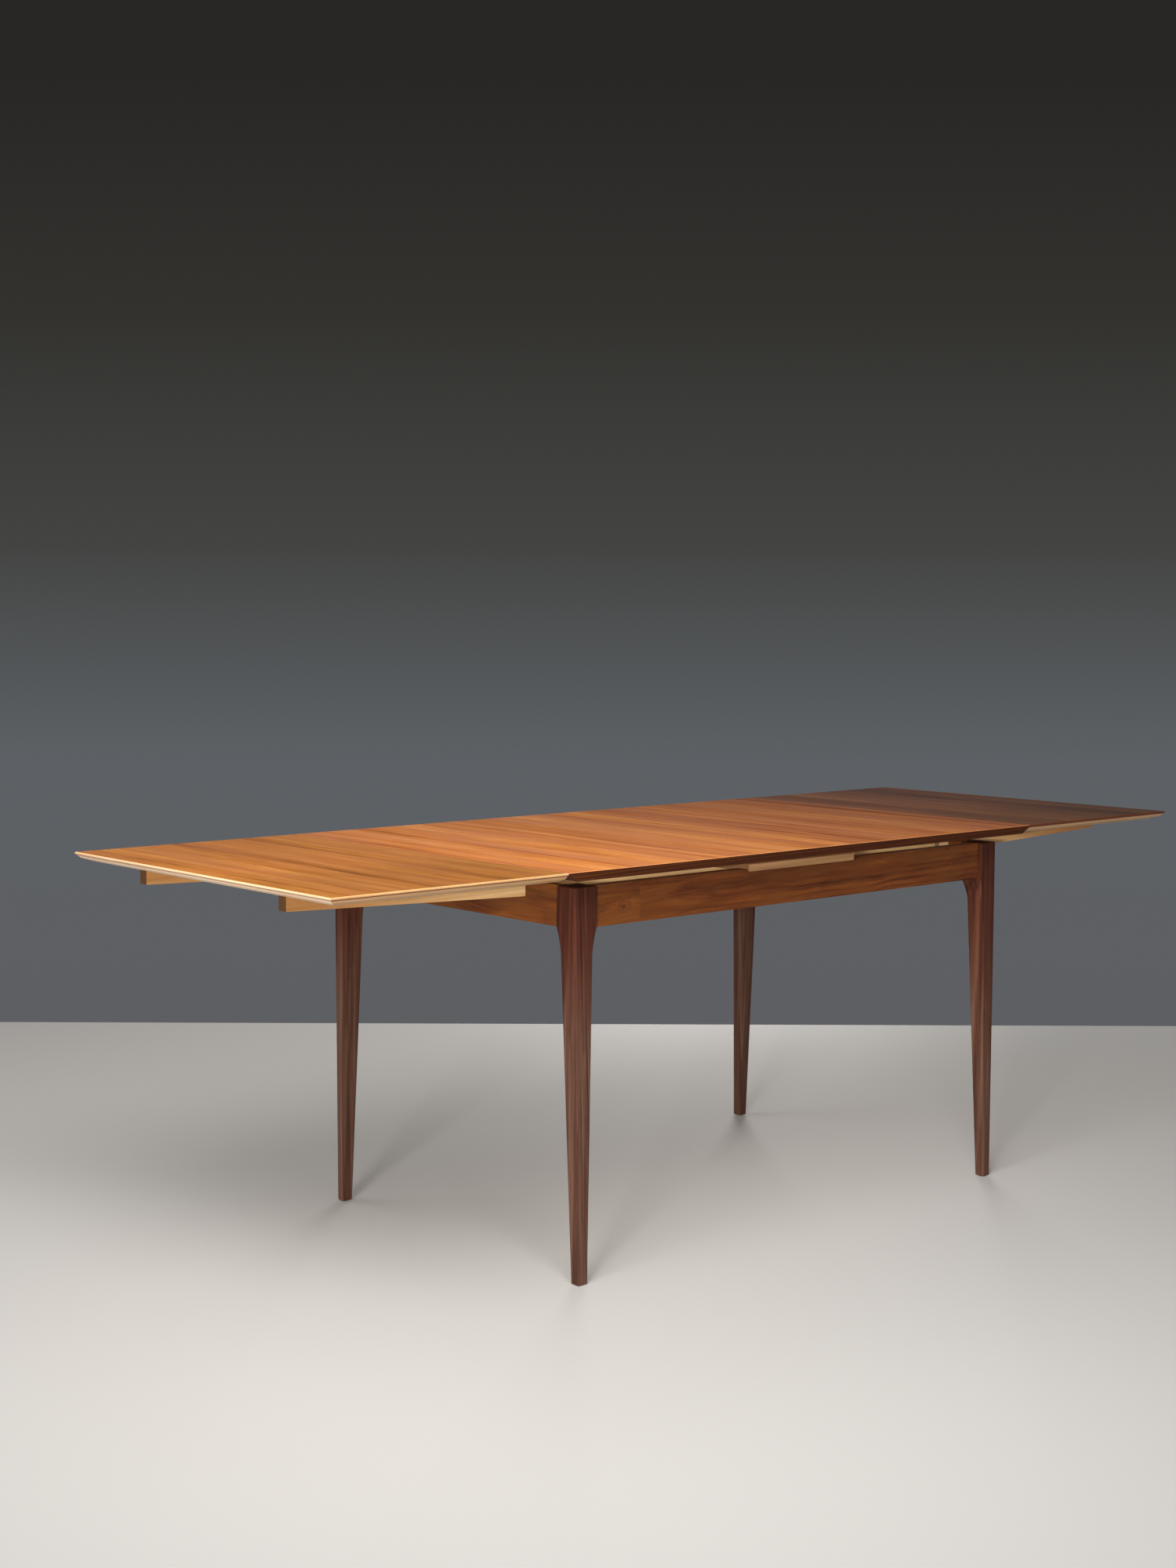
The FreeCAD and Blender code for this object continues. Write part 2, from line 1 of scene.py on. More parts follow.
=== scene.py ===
"""Looks of a draw-leaf extending table, drawn out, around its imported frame.

Every length in the classes is in millimetres. Blender's own coordinates are metres, with +X along the
table, +Y to its back and +Z up.
"""

import logging
import math
from dataclasses import dataclass, field, replace
from enum import Enum
from typing import Any, Callable

import bpy
from bpy.types import Material, MeshPolygon, Node, NodeSocket, NodeTree, Object
from mathutils import Euler, Matrix, Vector


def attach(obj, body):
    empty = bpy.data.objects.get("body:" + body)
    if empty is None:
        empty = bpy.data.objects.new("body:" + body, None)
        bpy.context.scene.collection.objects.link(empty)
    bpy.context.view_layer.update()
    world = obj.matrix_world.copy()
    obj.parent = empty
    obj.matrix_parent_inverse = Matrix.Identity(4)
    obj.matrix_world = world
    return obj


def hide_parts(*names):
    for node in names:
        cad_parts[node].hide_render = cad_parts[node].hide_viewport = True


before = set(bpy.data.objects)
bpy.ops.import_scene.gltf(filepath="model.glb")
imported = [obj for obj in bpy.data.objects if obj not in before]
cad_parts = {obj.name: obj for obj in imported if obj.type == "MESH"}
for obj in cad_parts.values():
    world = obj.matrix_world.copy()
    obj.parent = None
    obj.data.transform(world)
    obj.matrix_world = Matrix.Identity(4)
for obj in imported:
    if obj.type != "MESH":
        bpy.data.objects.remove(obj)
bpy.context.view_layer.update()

LOG = logging.getLogger("table")
MM = 0.001
MID_TONE = 0.5
# Least part of a normal along an axis, for a face square to it and for one rounded over from it.
FACING = 0.9
ROUNDED = 0.5


def linear(code: str) -> tuple[float, float, float, float]:
    """Turn an sRGB hex colour into Blender's linear one.

    Args:
        code: Six hex digits, red first.

    Returns:
        Linear red, green and blue, and full alpha.
    """
    parts = [int(code[i:i + 2], 16) / 255 for i in (0, 2, 4)]
    red, green, blue = (c / 12.92 if c <= 0.04045 else ((c + 0.055) / 1.055) ** 2.4 for c in parts)
    return red, green, blue, 1.0


def add_node(tree: NodeTree, kind: str, feeds: dict[int | str, Any] | None = None, **settings: Any) -> Node:
    """Add one node to a tree with its settings, values and links.

    Args:
        tree: Tree that takes the node.
        kind: Blender's type name of the node.
        feeds: For an input's name or number, the output that is linked to it or the value it holds.
        **settings: Attributes of the node.

    Returns:
        The new node.
    """
    node = tree.nodes.new(kind)
    for name, value in settings.items():
        setattr(node, name, value)
    for key, value in (feeds or {}).items():
        if isinstance(value, NodeSocket):
            tree.links.new(value, node.inputs[key])
        else:
            node.inputs[key].default_value = value
    return node


def fill_ramp(ramp: Node, shades: list[tuple[float, str]]) -> None:
    """Set the stops of a colour ramp.

    Args:
        ramp: Colour ramp node.
        shades: Place and colour of each stop, in rising order.
    """
    stops = ramp.color_ramp.elements
    stops.remove(stops[-1])
    for count, (spot, code) in enumerate(shades):
        stop = stops.new(spot) if count else stops[0]
        stop.position = spot
        stop.color = linear(code)


def new_tree(name: str) -> tuple[Material, NodeTree]:
    """Make a material with an empty node tree.

    Args:
        name: Name of the material.

    Returns:
        The material and its tree.
    """
    material = bpy.data.materials.new(name)
    material.use_nodes = True
    material.node_tree.nodes.clear()
    return material, material.node_tree


class Grain(Enum):
    """Way that the fibres run in a piece. The value turns that way on to the pattern's X, in degrees."""

    ALONG = (0.0, 0.0, 0.0)
    ACROSS = (0.0, 0.0, -90.0)
    UPRIGHT = (0.0, 90.0, 0.0)


class Axis(Enum):
    """Axis of the table. The value is its place in a point."""

    LENGTH = 0
    WIDTH = 1
    HEIGHT = 2


class End(Enum):
    """End of the table. The value is the sign of its X."""

    LEFT = -1
    RIGHT = 1


@dataclass(frozen=True)
class Cut:
    """How a piece lay in the log that it was sawn from."""

    grain: Grain
    heart: tuple[float, float] = (140.0, 60.0)
    along: float = 0.0
    lean: float = 0.6
    joint: float | None = None


@dataclass(frozen=True)
class EdgeLine:
    """Line along the arrises of a veneered panel. A pale one is painted highlight, over pale lipping wood on
    the left leaf; a dark one is painted shade.

    Its ragged share and the places where it fades are in widths.
    """

    reach: tuple[float, float]
    colour: str
    width: float = 2.6
    ragged: float = 0.5
    fade: tuple[float, float] = (0.75, 1.35)
    strength: float = 0.85


@dataclass(frozen=True)
class Browned:
    """Darkening of a piece along an axis: painted shade on most pieces, the veneer's own tone on the front
    apron's darker sheet.

    It starts at one distance from a middle, measured along an axis, and is full at another.
    """

    axis: Axis
    start: float
    full: float
    colour: str
    middle: float = 0.0


@dataclass(frozen=True)
class Knot:
    """Knot in a board. All but its place, radius, squeeze and darkness are in radii."""

    place: tuple[float, float, float]
    radius: float
    reach: float = 4.5
    swell: float = 2.2
    chip: float = 0.9
    ragged: float = 1.4
    core: tuple[float, float] = (0.2, 1.2)
    squeeze: float = 0.6
    darkness: float = 0.7


@dataclass(frozen=True)
class Wood:
    """Solid wood with growth lines, broad bands, ribbons, fibres and pores.

    The colours go from the darkest line to the lightest ground, and a gain says how far a pattern shifts the
    tone. Pairs of sizes are a length along the grain and a width across it. Real fibres and pores are finer
    than half a millimetre, and are drawn coarse enough to show.
    """

    name: str
    colours: tuple[str, str, str, str]
    end_colour: str
    ring: float = 4.0
    band: float = 26.0
    ribbon: tuple[float, float] = (260.0, 16.0)
    fibre: tuple[float, float] = (70.0, 1.6)
    pore: tuple[float, float] = (26.0, 1.3)
    wander: float = 7.0
    wander_size: tuple[float, float] = (420.0, 60.0)
    ring_gain: float = 0.9
    band_gain: float = 0.7
    ribbon_gain: float = 0.6
    fibre_gain: float = 0.45
    pore_gain: float = 0.35
    roughness: float = 0.4
    ior: float = 1.5
    bump: float = 0.12
    sheet: float = 0.0
    sheet_gain: float = 0.0
    next_sheet: tuple[float, float, float] = (900.0, 46.0, 31.0)
    haze_colour: str = "000000"
    haze_gain: float = 0.0
    haze_size: tuple[float, float] = (420.0, 42.0)
    tone_stops: tuple[float, float, float, float] = (0.08, 0.36, 0.6, 0.92)
    fibre_range: tuple[float, float] = (0.3, 0.7)
    pore_range: tuple[float, float] = (0.12, 0.34)
    haze_range: tuple[float, float] = (0.36, 0.66)
    end_range: tuple[float, float] = (0.8, 0.96)
    end_gain: float = 0.8
    relief: float = 0.4
    pore_depth: float = 0.8
    rough_spread: tuple[float, float] = (-0.05, 0.06)
    sheet_jump: float = 900.0

    def material(self, piece: str, cut: Cut, knots: tuple[Knot, ...] = (), second_tone: EdgeLine | None = None,
                 browned: Browned | None = None) -> Material:
        """Make this wood for one piece, on its Object coordinates.

        Args:
            piece: Name of the piece, which the material's name ends with.
            cut: How the piece lay in its log.
            knots: Knots that show on the piece.
            second_tone: Line along the outer edges; a pale one is painted highlight and a dark one painted
                shade.
            browned: Stretch that is darkened, mostly as painted shade.

        Returns:
            The material.
        """
        material, tree = new_tree(f"{self.name}_{piece}")
        place = add_node(tree, "ShaderNodeTexCoord")
        turn = [math.radians(a) for a in cut.grain.value]
        log = add_node(tree, "ShaderNodeMapping", {
            "Vector": place.outputs["Object"],
            "Location": (cut.along, cut.heart[0], cut.heart[1]),
            "Rotation": turn,
            "Scale": (1 / MM, 1 / MM, 1 / MM),
        }).outputs[0]
        if cut.joint is not None:
            column = add_node(tree, "ShaderNodeSeparateXYZ", {0: place.outputs["Object"]})
            before = add_node(tree, "ShaderNodeMath", {0: column.outputs[0], 1: cut.joint * MM},
                              operation="LESS_THAN")
            log = add_node(tree, "ShaderNodeVectorMath", {
                0: before.outputs[0], 1: self.next_sheet, 2: log}, operation="MULTIPLY_ADD").outputs[0]
        leaning = add_node(tree, "ShaderNodeMapping", {
            "Vector": log,
            "Rotation": (0.0, math.radians(cut.lean), math.radians(cut.lean)),
        }).outputs[0]
        fibres = self.bent(tree, leaning)
        radius = self.radius(tree, fibres, place.outputs["Object"], knots)
        tone, fibre, pore = self.tone(tree, fibres, radius, log)
        colour = self.colour(tree, tone, pore, fibres)
        colour = self.marked(tree, colour, place, cut, knots)
        if second_tone:
            colour = self.paint_edge_line(tree, colour, place.outputs["Object"], fibre, second_tone)
        if browned:
            colour = self.brown(tree, colour, place.outputs["Object"], browned)
        height = add_node(tree, "ShaderNodeMath", {0: pore, 1: -self.pore_depth, 2: fibre},
                          operation="MULTIPLY_ADD")
        bump = add_node(tree, "ShaderNodeBump", {
            "Strength": self.bump, "Distance": self.relief * MM, "Height": height.outputs[0]})
        smooth, coarse = (self.roughness + spread for spread in self.rough_spread)
        rough = add_node(tree, "ShaderNodeMapRange", {
            "Value": fibre, "From Min": self.fibre_range[0], "From Max": self.fibre_range[1],
            "To Min": smooth, "To Max": coarse})
        shader = add_node(tree, "ShaderNodeBsdfPrincipled", {
            "Base Color": colour, "Roughness": rough.outputs[0], "IOR": self.ior, "Normal": bump.outputs[0]})
        add_node(tree, "ShaderNodeOutputMaterial", {"Surface": shader.outputs[0]})
        return material

    def bent(self, tree: NodeTree, log: NodeSocket) -> NodeSocket:
        """Bend straight log coordinates, as fibres wander in a tree.

        Args:
            tree: Tree that takes the nodes.
            log: Straight coordinates, in millimetres.

        Returns:
            Bent coordinates, in millimetres.
        """
        drift = add_node(tree, "ShaderNodeTexNoise", {
            "Vector": self.stretched(tree, log, self.wander_size), "Scale": 1.0, "Detail": 2.0,
            "Roughness": 0.45})
        reach = 2 * self.wander
        return add_node(tree, "ShaderNodeVectorMath", {0: drift.outputs[1], 1: (0.0, reach, reach), 2: log},
                        operation="MULTIPLY_ADD").outputs[0]

    def stretched(self, tree: NodeTree, log: NodeSocket, size: tuple[float, float]) -> NodeSocket:
        """Stretch a pattern of unit size along the grain.

        Args:
            tree: Tree that takes the nodes.
            log: Log coordinates, in millimetres.
            size: Length and width that the unit gets.

        Returns:
            Coordinates for the pattern.
        """
        long, wide = size
        return add_node(tree, "ShaderNodeVectorMath", {0: log, 1: (1 / long, 1 / wide, 1 / wide)},
                        operation="MULTIPLY").outputs[0]

    def streaks(self, tree: NodeTree, fibres: NodeSocket, size: tuple[float, float]) -> NodeSocket:
        """Draw soft streaks along the grain.

        Args:
            tree: Tree that takes the nodes.
            fibres: Bent log coordinates, in millimetres.
            size: Length and width of a streak.

        Returns:
            The streaks, about 0.5 on average.
        """
        return add_node(tree, "ShaderNodeTexNoise", {
            "Vector": self.stretched(tree, fibres, size), "Scale": 1.0, "Detail": 2.0}).outputs[0]

    def radius(self, tree: NodeTree, fibres: NodeSocket, place: NodeSocket,
               knots: tuple[Knot, ...]) -> NodeSocket:
        """Measure each point's distance from the heart of the log, swollen round its knots.

        Args:
            tree: Tree that takes the nodes.
            fibres: Bent log coordinates, in millimetres.
            place: Object coordinates, in metres.
            knots: Knots that push the growth lines aside.

        Returns:
            The distance, in millimetres.
        """
        across = add_node(tree, "ShaderNodeVectorMath", {0: fibres, 1: (0.0, 1.0, 1.0)},
                          operation="MULTIPLY")
        radius = add_node(tree, "ShaderNodeVectorMath", {0: across.outputs[0]},
                          operation="LENGTH").outputs[1]
        for knot in knots:
            swell = add_node(tree, "ShaderNodeMapRange", {
                "Value": self.from_knot(tree, place, knot), "From Min": 0.0,
                "From Max": knot.reach * knot.radius, "To Min": knot.swell * knot.radius, "To Max": 0.0,
            }, interpolation_type="SMOOTHERSTEP")
            radius = add_node(tree, "ShaderNodeMath", {0: radius, 1: swell.outputs[0]}).outputs[0]
        return radius

    def from_knot(self, tree: NodeTree, place: NodeSocket, knot: Knot) -> NodeSocket:
        """Measure the distance from a knot, drawn out along the board and ragged at its edge.

        Args:
            tree: Tree that takes the nodes.
            place: Object coordinates, in metres.
            knot: Knot that the distance is from.

        Returns:
            The distance, in millimetres.
        """
        offset = add_node(tree, "ShaderNodeVectorMath", {0: place, 1: [c * MM for c in knot.place]},
                          operation="SUBTRACT")
        squeezed = add_node(tree, "ShaderNodeVectorMath", {
            0: offset.outputs[0], 1: (knot.squeeze / MM, 1 / MM, 1 / MM)}, operation="MULTIPLY")
        chips = add_node(tree, "ShaderNodeTexNoise", {
            "Vector": squeezed.outputs[0], "Scale": 1 / (knot.chip * knot.radius), "Detail": 2.0})
        far = add_node(tree, "ShaderNodeVectorMath", {0: squeezed.outputs[0]}, operation="LENGTH")
        ragged = knot.ragged * knot.radius
        rough = add_node(tree, "ShaderNodeMath", {0: chips.outputs[0], 1: ragged, 2: far.outputs[1]},
                         operation="MULTIPLY_ADD")
        return add_node(tree, "ShaderNodeMath", {0: rough.outputs[0], 1: ragged / 2},
                        operation="SUBTRACT").outputs[0]

    def tone(self, tree: NodeTree, fibres: NodeSocket, radius: NodeSocket,
             log: NodeSocket) -> tuple[NodeSocket, ...]:
        """Add up the growth lines, bands, ribbons and fibres.

        Args:
            tree: Tree that takes the nodes.
            fibres: Bent log coordinates, in millimetres.
            radius: Distance from the heart, in millimetres.
            log: Straight log coordinates, in millimetres.

        Returns:
            The tone from 0 to 1, the fibres, and the pores.
        """
        total: Any = MID_TONE
        if self.sheet:
            column = add_node(tree, "ShaderNodeSeparateXYZ", {0: log})
            count = add_node(tree, "ShaderNodeMath", {0: column.outputs[1], 1: self.sheet},
                             operation="DIVIDE")
            number = add_node(tree, "ShaderNodeMath", {0: count.outputs[0]}, operation="FLOOR")
            chance = add_node(tree, "ShaderNodeTexWhiteNoise", {"W": number.outputs[0]},
                              noise_dimensions="1D")
            radius = add_node(tree, "ShaderNodeMath", {0: chance.outputs[0], 1: self.sheet_jump, 2: radius},
                              operation="MULTIPLY_ADD").outputs[0]
            total = add_node(tree, "ShaderNodeMapRange", {
                "Value": chance.outputs[0], "To Min": MID_TONE - self.sheet_gain,
                "To Max": MID_TONE + self.sheet_gain}).outputs[0]
        growth = add_node(tree, "ShaderNodeTexNoise", {
            "W": radius, "Scale": 1 / self.ring, "Detail": 2.0, "Roughness": 0.45},
            noise_dimensions="1D").outputs[0]
        bands = add_node(tree, "ShaderNodeTexNoise", {
            "W": radius, "Scale": 1 / self.band, "Detail": 1.0}, noise_dimensions="1D").outputs[0]
        ribbon = self.streaks(tree, fibres, self.ribbon)
        fibre = self.streaks(tree, fibres, self.fibre)
        cells = add_node(tree, "ShaderNodeTexVoronoi", {
            "Vector": self.stretched(tree, fibres, self.pore), "Scale": 1.0})
        pore = add_node(tree, "ShaderNodeMapRange", {
            "Value": cells.outputs[0], "From Min": self.pore_range[0], "From Max": self.pore_range[1],
            "To Min": 1.0, "To Max": 0.0}).outputs[0]
        gains = ((growth, self.ring_gain), (bands, self.band_gain), (ribbon, self.ribbon_gain),
                 (fibre, self.fibre_gain))
        for value, gain in gains:
            swing = add_node(tree, "ShaderNodeMapRange", {
                "Value": value, "To Min": -gain / 2, "To Max": gain / 2}, clamp=False)
            total = add_node(tree, "ShaderNodeMath", {0: total, 1: swing.outputs[0]}).outputs[0]
        return total, fibre, pore

    def paint_edge_line(self, tree: NodeTree, colour: NodeSocket, place: NodeSocket,
             fibre: NodeSocket, second_tone: EdgeLine) -> NodeSocket:
        """Paint a line along the outer edges of a panel; a pale one is painted highlight and a dark one
        painted shade.

        Args:
            tree: Tree that takes the nodes.
            colour: Colour of the wood.
            place: Object coordinates, in metres.
            fibre: Fibres, which make the edge line ragged.
            second_tone: The edge line.

        Returns:
            The colour with its edge line.
        """
        middle = add_node(tree, "ShaderNodeVectorMath", {0: place}, operation="ABSOLUTE")
        corner = [side * MM for side in second_tone.reach] + [0.0]
        inward = add_node(tree, "ShaderNodeVectorMath", {0: corner, 1: middle.outputs[0]},
                          operation="SUBTRACT")
        parts = add_node(tree, "ShaderNodeSeparateXYZ", {0: inward.outputs[0]})
        near = add_node(tree, "ShaderNodeMath", {0: parts.outputs[0], 1: parts.outputs[1]},
                        operation="MINIMUM")
        width = second_tone.width * MM
        ragged = add_node(tree, "ShaderNodeMath", {0: fibre, 1: second_tone.ragged * width, 2: near.outputs[0]},
                          operation="MULTIPLY_ADD")
        share = add_node(tree, "ShaderNodeMapRange", {
            "Value": ragged.outputs[0], "From Min": second_tone.fade[0] * width, "From Max": second_tone.fade[1] * width,
            "To Min": second_tone.strength, "To Max": 0.0})
        return add_node(tree, "ShaderNodeMix", {
            0: share.outputs[0], 6: colour, 7: linear(second_tone.colour)}, data_type="RGBA").outputs[2]

    def brown(self, tree: NodeTree, colour: NodeSocket, place: NodeSocket, browned: Browned) -> NodeSocket:
        """Darken a piece along an axis of the table, mostly as painted shade.

        Args:
            tree: Tree that takes the nodes.
            colour: Colour of the wood.
            place: Object coordinates, in metres.
            browned: Where it is darkened, and to what.

        Returns:
            The darkened colour.
        """
        column = add_node(tree, "ShaderNodeSeparateXYZ", {0: place})
        offset = add_node(tree, "ShaderNodeMath", {
            0: column.outputs[browned.axis.value], 1: browned.middle * MM}, operation="SUBTRACT")
        out = add_node(tree, "ShaderNodeMath", {0: offset.outputs[0]}, operation="ABSOLUTE")
        share = add_node(tree, "ShaderNodeMapRange", {
            "Value": out.outputs[0], "From Min": browned.start * MM, "From Max": browned.full * MM},
            interpolation_type="SMOOTHSTEP")
        return add_node(tree, "ShaderNodeMix", {
            0: share.outputs[0], 6: colour, 7: linear(browned.colour)}, data_type="RGBA",
            blend_type="MULTIPLY").outputs[2]

    def colour(self, tree: NodeTree, tone: NodeSocket, pore: NodeSocket, fibres: NodeSocket) -> NodeSocket:
        """Turn a tone into colour, with pores, clouded in soft patches as oil and light do.

        Args:
            tree: Tree that takes the nodes.
            tone: Tone from 0 to 1.
            pore: 1 in a pore and 0 elsewhere.
            fibres: Bent log coordinates, in millimetres.

        Returns:
            The colour.
        """
        ramp = add_node(tree, "ShaderNodeValToRGB", {0: tone})
        fill_ramp(ramp, list(zip(self.tone_stops, self.colours)))
        share = add_node(tree, "ShaderNodeMath", {0: pore, 1: self.pore_gain}, operation="MULTIPLY")
        colour = add_node(tree, "ShaderNodeMix", {
            0: share.outputs[0], 6: ramp.outputs[0], 7: linear(self.colours[0])},
            data_type="RGBA").outputs[2]
        if not self.haze_gain:
            return colour
        share = add_node(tree, "ShaderNodeMapRange", {
            "Value": self.streaks(tree, fibres, self.haze_size), "From Min": self.haze_range[0],
            "From Max": self.haze_range[1], "To Max": self.haze_gain})
        return add_node(tree, "ShaderNodeMix", {
            0: share.outputs[0], 6: colour, 7: linear(self.haze_colour)}, data_type="RGBA").outputs[2]

    def marked(self, tree: NodeTree, colour: NodeSocket, place: Node, cut: Cut,
               knots: tuple[Knot, ...]) -> NodeSocket:
        """Mark a piece with its knots and its end grain.

        Args:
            tree: Tree that takes the nodes.
            colour: Colour of the wood.
            place: Texture Coordinate node of the material.
            cut: How the piece lay in its log.
            knots: Knots that show on the piece.

        Returns:
            The marked colour.
        """
        for knot in knots:
            core = add_node(tree, "ShaderNodeMapRange", {
                "Value": self.from_knot(tree, place.outputs["Object"], knot),
                "From Min": knot.core[0] * knot.radius, "From Max": knot.core[1] * knot.radius,
                "To Min": knot.darkness, "To Max": 0.0}, interpolation_type="SMOOTHSTEP")
            colour = add_node(tree, "ShaderNodeMix", {
                0: core.outputs[0], 6: colour, 7: linear(self.colours[0])}, data_type="RGBA").outputs[2]
        turn = Euler([math.radians(a) for a in cut.grain.value]).to_matrix()
        fibre_way = turn.inverted() @ Vector((1, 0, 0))
        facing = add_node(tree, "ShaderNodeVectorMath", {0: place.outputs["Normal"], 1: fibre_way},
                          operation="DOT_PRODUCT")
        square = add_node(tree, "ShaderNodeMath", {0: facing.outputs[1]}, operation="ABSOLUTE")
        end = add_node(tree, "ShaderNodeMapRange", {
            "Value": square.outputs[0], "From Min": self.end_range[0], "From Max": self.end_range[1],
            "To Max": self.end_gain})
        return add_node(tree, "ShaderNodeMix", {
            0: end.outputs[0], 6: colour, 7: linear(self.end_colour)}, data_type="RGBA").outputs[2]


@dataclass(frozen=True)
class ZincSteel:
    """Zinc-plated steel, drawn and rolled: a dull grey with small spots of tarnish."""

    name: str = "zinc_steel"
    colour: str = "B9B6AC"
    tarnish: str = "8D867A"
    spot: float = 1.6
    rough_range: tuple[float, float] = (0.25, 0.55)

    def material(self) -> Material:
        """Make the plated steel.

        Returns:
            The material.
        """
        material, tree = new_tree(self.name)
        place = add_node(tree, "ShaderNodeTexCoord")
        spots = add_node(tree, "ShaderNodeTexNoise", {
            "Vector": place.outputs["Object"], "Scale": 1 / (self.spot * MM), "Detail": 3.0})
        colour = add_node(tree, "ShaderNodeMix", {
            0: spots.outputs[0], 6: linear(self.colour), 7: linear(self.tarnish)}, data_type="RGBA")
        rough = add_node(tree, "ShaderNodeMapRange", {
            "Value": spots.outputs[0], "To Min": self.rough_range[0], "To Max": self.rough_range[1]})
        shader = add_node(tree, "ShaderNodeBsdfPrincipled", {
            "Base Color": colour.outputs[2], "Metallic": 1.0, "Roughness": rough.outputs[0]})
        add_node(tree, "ShaderNodeOutputMaterial", {"Surface": shader.outputs[0]})
        return material


@dataclass(frozen=True)
class MouldedPlastic:
    """Brown polyethylene, injection moulded: waxy, with a spark texture drawn coarse enough to show."""

    name: str = "brown_polyethylene"
    colour: str = "3A2A20"
    second_tone: str = "54402F"
    grit: float = 0.8
    relief: float = 0.1

    def material(self) -> Material:
        """Make the plastic.

        Returns:
            The material.
        """
        material, tree = new_tree(self.name)
        place = add_node(tree, "ShaderNodeTexCoord")
        sparks = add_node(tree, "ShaderNodeTexNoise", {
            "Vector": place.outputs["Object"], "Scale": 1 / (self.grit * MM), "Detail": 2.0})
        colour = add_node(tree, "ShaderNodeMix", {
            0: sparks.outputs[0], 6: linear(self.colour), 7: linear(self.second_tone)}, data_type="RGBA")
        bump = add_node(tree, "ShaderNodeBump", {
            "Strength": 0.2, "Distance": self.relief * MM, "Height": sparks.outputs[0]})
        shader = add_node(tree, "ShaderNodeBsdfPrincipled", {
            "Base Color": colour.outputs[2], "Roughness": 0.5, "IOR": 1.51, "Normal": bump.outputs[0]})
        add_node(tree, "ShaderNodeOutputMaterial", {"Surface": shader.outputs[0]})
        return material


@dataclass(frozen=True)
class WoolFelt:
    """Green pressed wool felt: no weave, matted hairs drawn coarse enough to show, and a soft dusty edge."""

    name: str = "wool_felt"
    colour: str = "2F4A33"
    hair_colour: str = "55705A"
    hair: float = 1.2
    relief: float = 0.3

    def material(self) -> Material:
        """Make the felt.

        Returns:
            The material.
        """
        material, tree = new_tree(self.name)
        place = add_node(tree, "ShaderNodeTexCoord")
        hairs = add_node(tree, "ShaderNodeTexNoise", {
            "Vector": place.outputs["Object"], "Scale": 1 / (self.hair * MM), "Detail": 4.0,
            "Distortion": 1.5})
        colour = add_node(tree, "ShaderNodeMix", {
            0: hairs.outputs[0], 6: linear(self.colour), 7: linear(self.hair_colour)}, data_type="RGBA")
        bump = add_node(tree, "ShaderNodeBump", {
            "Strength": 0.6, "Distance": self.relief * MM, "Height": hairs.outputs[0]})
        shader = add_node(tree, "ShaderNodeBsdfPrincipled", {
            "Base Color": colour.outputs[2], "Roughness": 0.95, "Sheen Weight": 0.4, "Sheen Roughness": 0.5,
            "Normal": bump.outputs[0]})
        add_node(tree, "ShaderNodeOutputMaterial", {"Surface": shader.outputs[0]})
        return material


# Teak, rift-sliced and laid in sheets: straight lines, soft ribbons that fade along their length.
TEAK = Wood("teak_veneer", ("964B18", "CA7530", "E48B3E", "FDB062"), "7A451F", ring=9.0, band=40.0,
            ribbon=(320.0, 24.0), fibre=(130.0, 1.3), ring_gain=0.5, band_gain=0.8, ribbon_gain=0.8,
            fibre_gain=1.0, pore_gain=0.5, wander=4.0, roughness=0.36, ior=1.5, sheet=158.0, sheet_gain=0.12,
            haze_colour="D08357", haze_gain=0.6)
# Walnut, planed: dark, close lines.
WALNUT = Wood("walnut", ("220C03", "381705", "451F07", "572E10"), "2E170A", ring=3.0, roughness=0.5,
              ior=1.3)
# Beech, moulded: pale and even, with faint lines.
BEECH = Wood("beech", ("9A6C40", "B48657", "C49A6C", "D8B48C"), "A07850", ring=4.0, ring_gain=0.5,
             band_gain=0.4, ribbon_gain=0.4, pore_gain=0.2, roughness=0.42)
# The same beech on the outer ends, paler and greyer.
PALER_BEECH = replace(BEECH, name="paler_beech", colours=("B08E6C", "CDAA88", "DDBFA0", "EBD4BC"))
# Ramin, planed and thinly lacquered: warm straw colour, end grain gone dark with age.
RAMIN = Wood("ramin", ("B48A58", "D2AA76", "E0BC88", "EDD0A4"), "33251A", ring=5.0, ring_gain=0.55,
             band_gain=0.45, ribbon_gain=0.5, pore_gain=0.25, roughness=0.5)
# Chestnut, planed: fawn with open pores.
CHESTNUT = Wood("chestnut", ("7A5432", "9A714A", "AC835A", "C29A70"), "6A482A", ring=5.0, ring_gain=0.6,
                band_gain=0.45, ribbon_gain=0.5, pore_gain=0.4, roughness=0.5)
# Rosewood, shaped and oiled: red brown with long soft streaks.
ROSEWOOD = Wood("rosewood", ("331D14", "4A2E23", "5B3F32", "715648"), "341A0F", ring=5.5, band=22.0,
                ring_gain=0.8, band_gain=0.4, ribbon=(260.0, 8.0), ribbon_gain=0.9, fibre_gain=0.35,
                roughness=0.62, ior=1.36)
# Teak, flat-sliced: red brown with wide flames.
FLAMED_TEAK = Wood("flamed_teak", ("321303", "57290A", "6D3911", "884F1E"), "46240F", ring=7.0, band=24.0,
                   ring_gain=0.9, band_gain=0.6, ribbon=(180.0, 9.0), ribbon_gain=0.9, fibre_gain=0.4,
                   wander=11.0, wander_size=(190.0, 55.0), roughness=0.42, ior=1.45, haze_colour="6C3E16",
                   haze_gain=0.55, haze_size=(120.0, 24.0))
# Gaboon backing veneer, sanded: plain and even.
GABOON = Wood("gaboon", ("8E6440", "A67B52", "B38A60", "C19A70"), "7A5636", ring=8.0, ring_gain=0.5,
              band_gain=0.4, ribbon_gain=0.4, pore_gain=0.3, roughness=0.6)


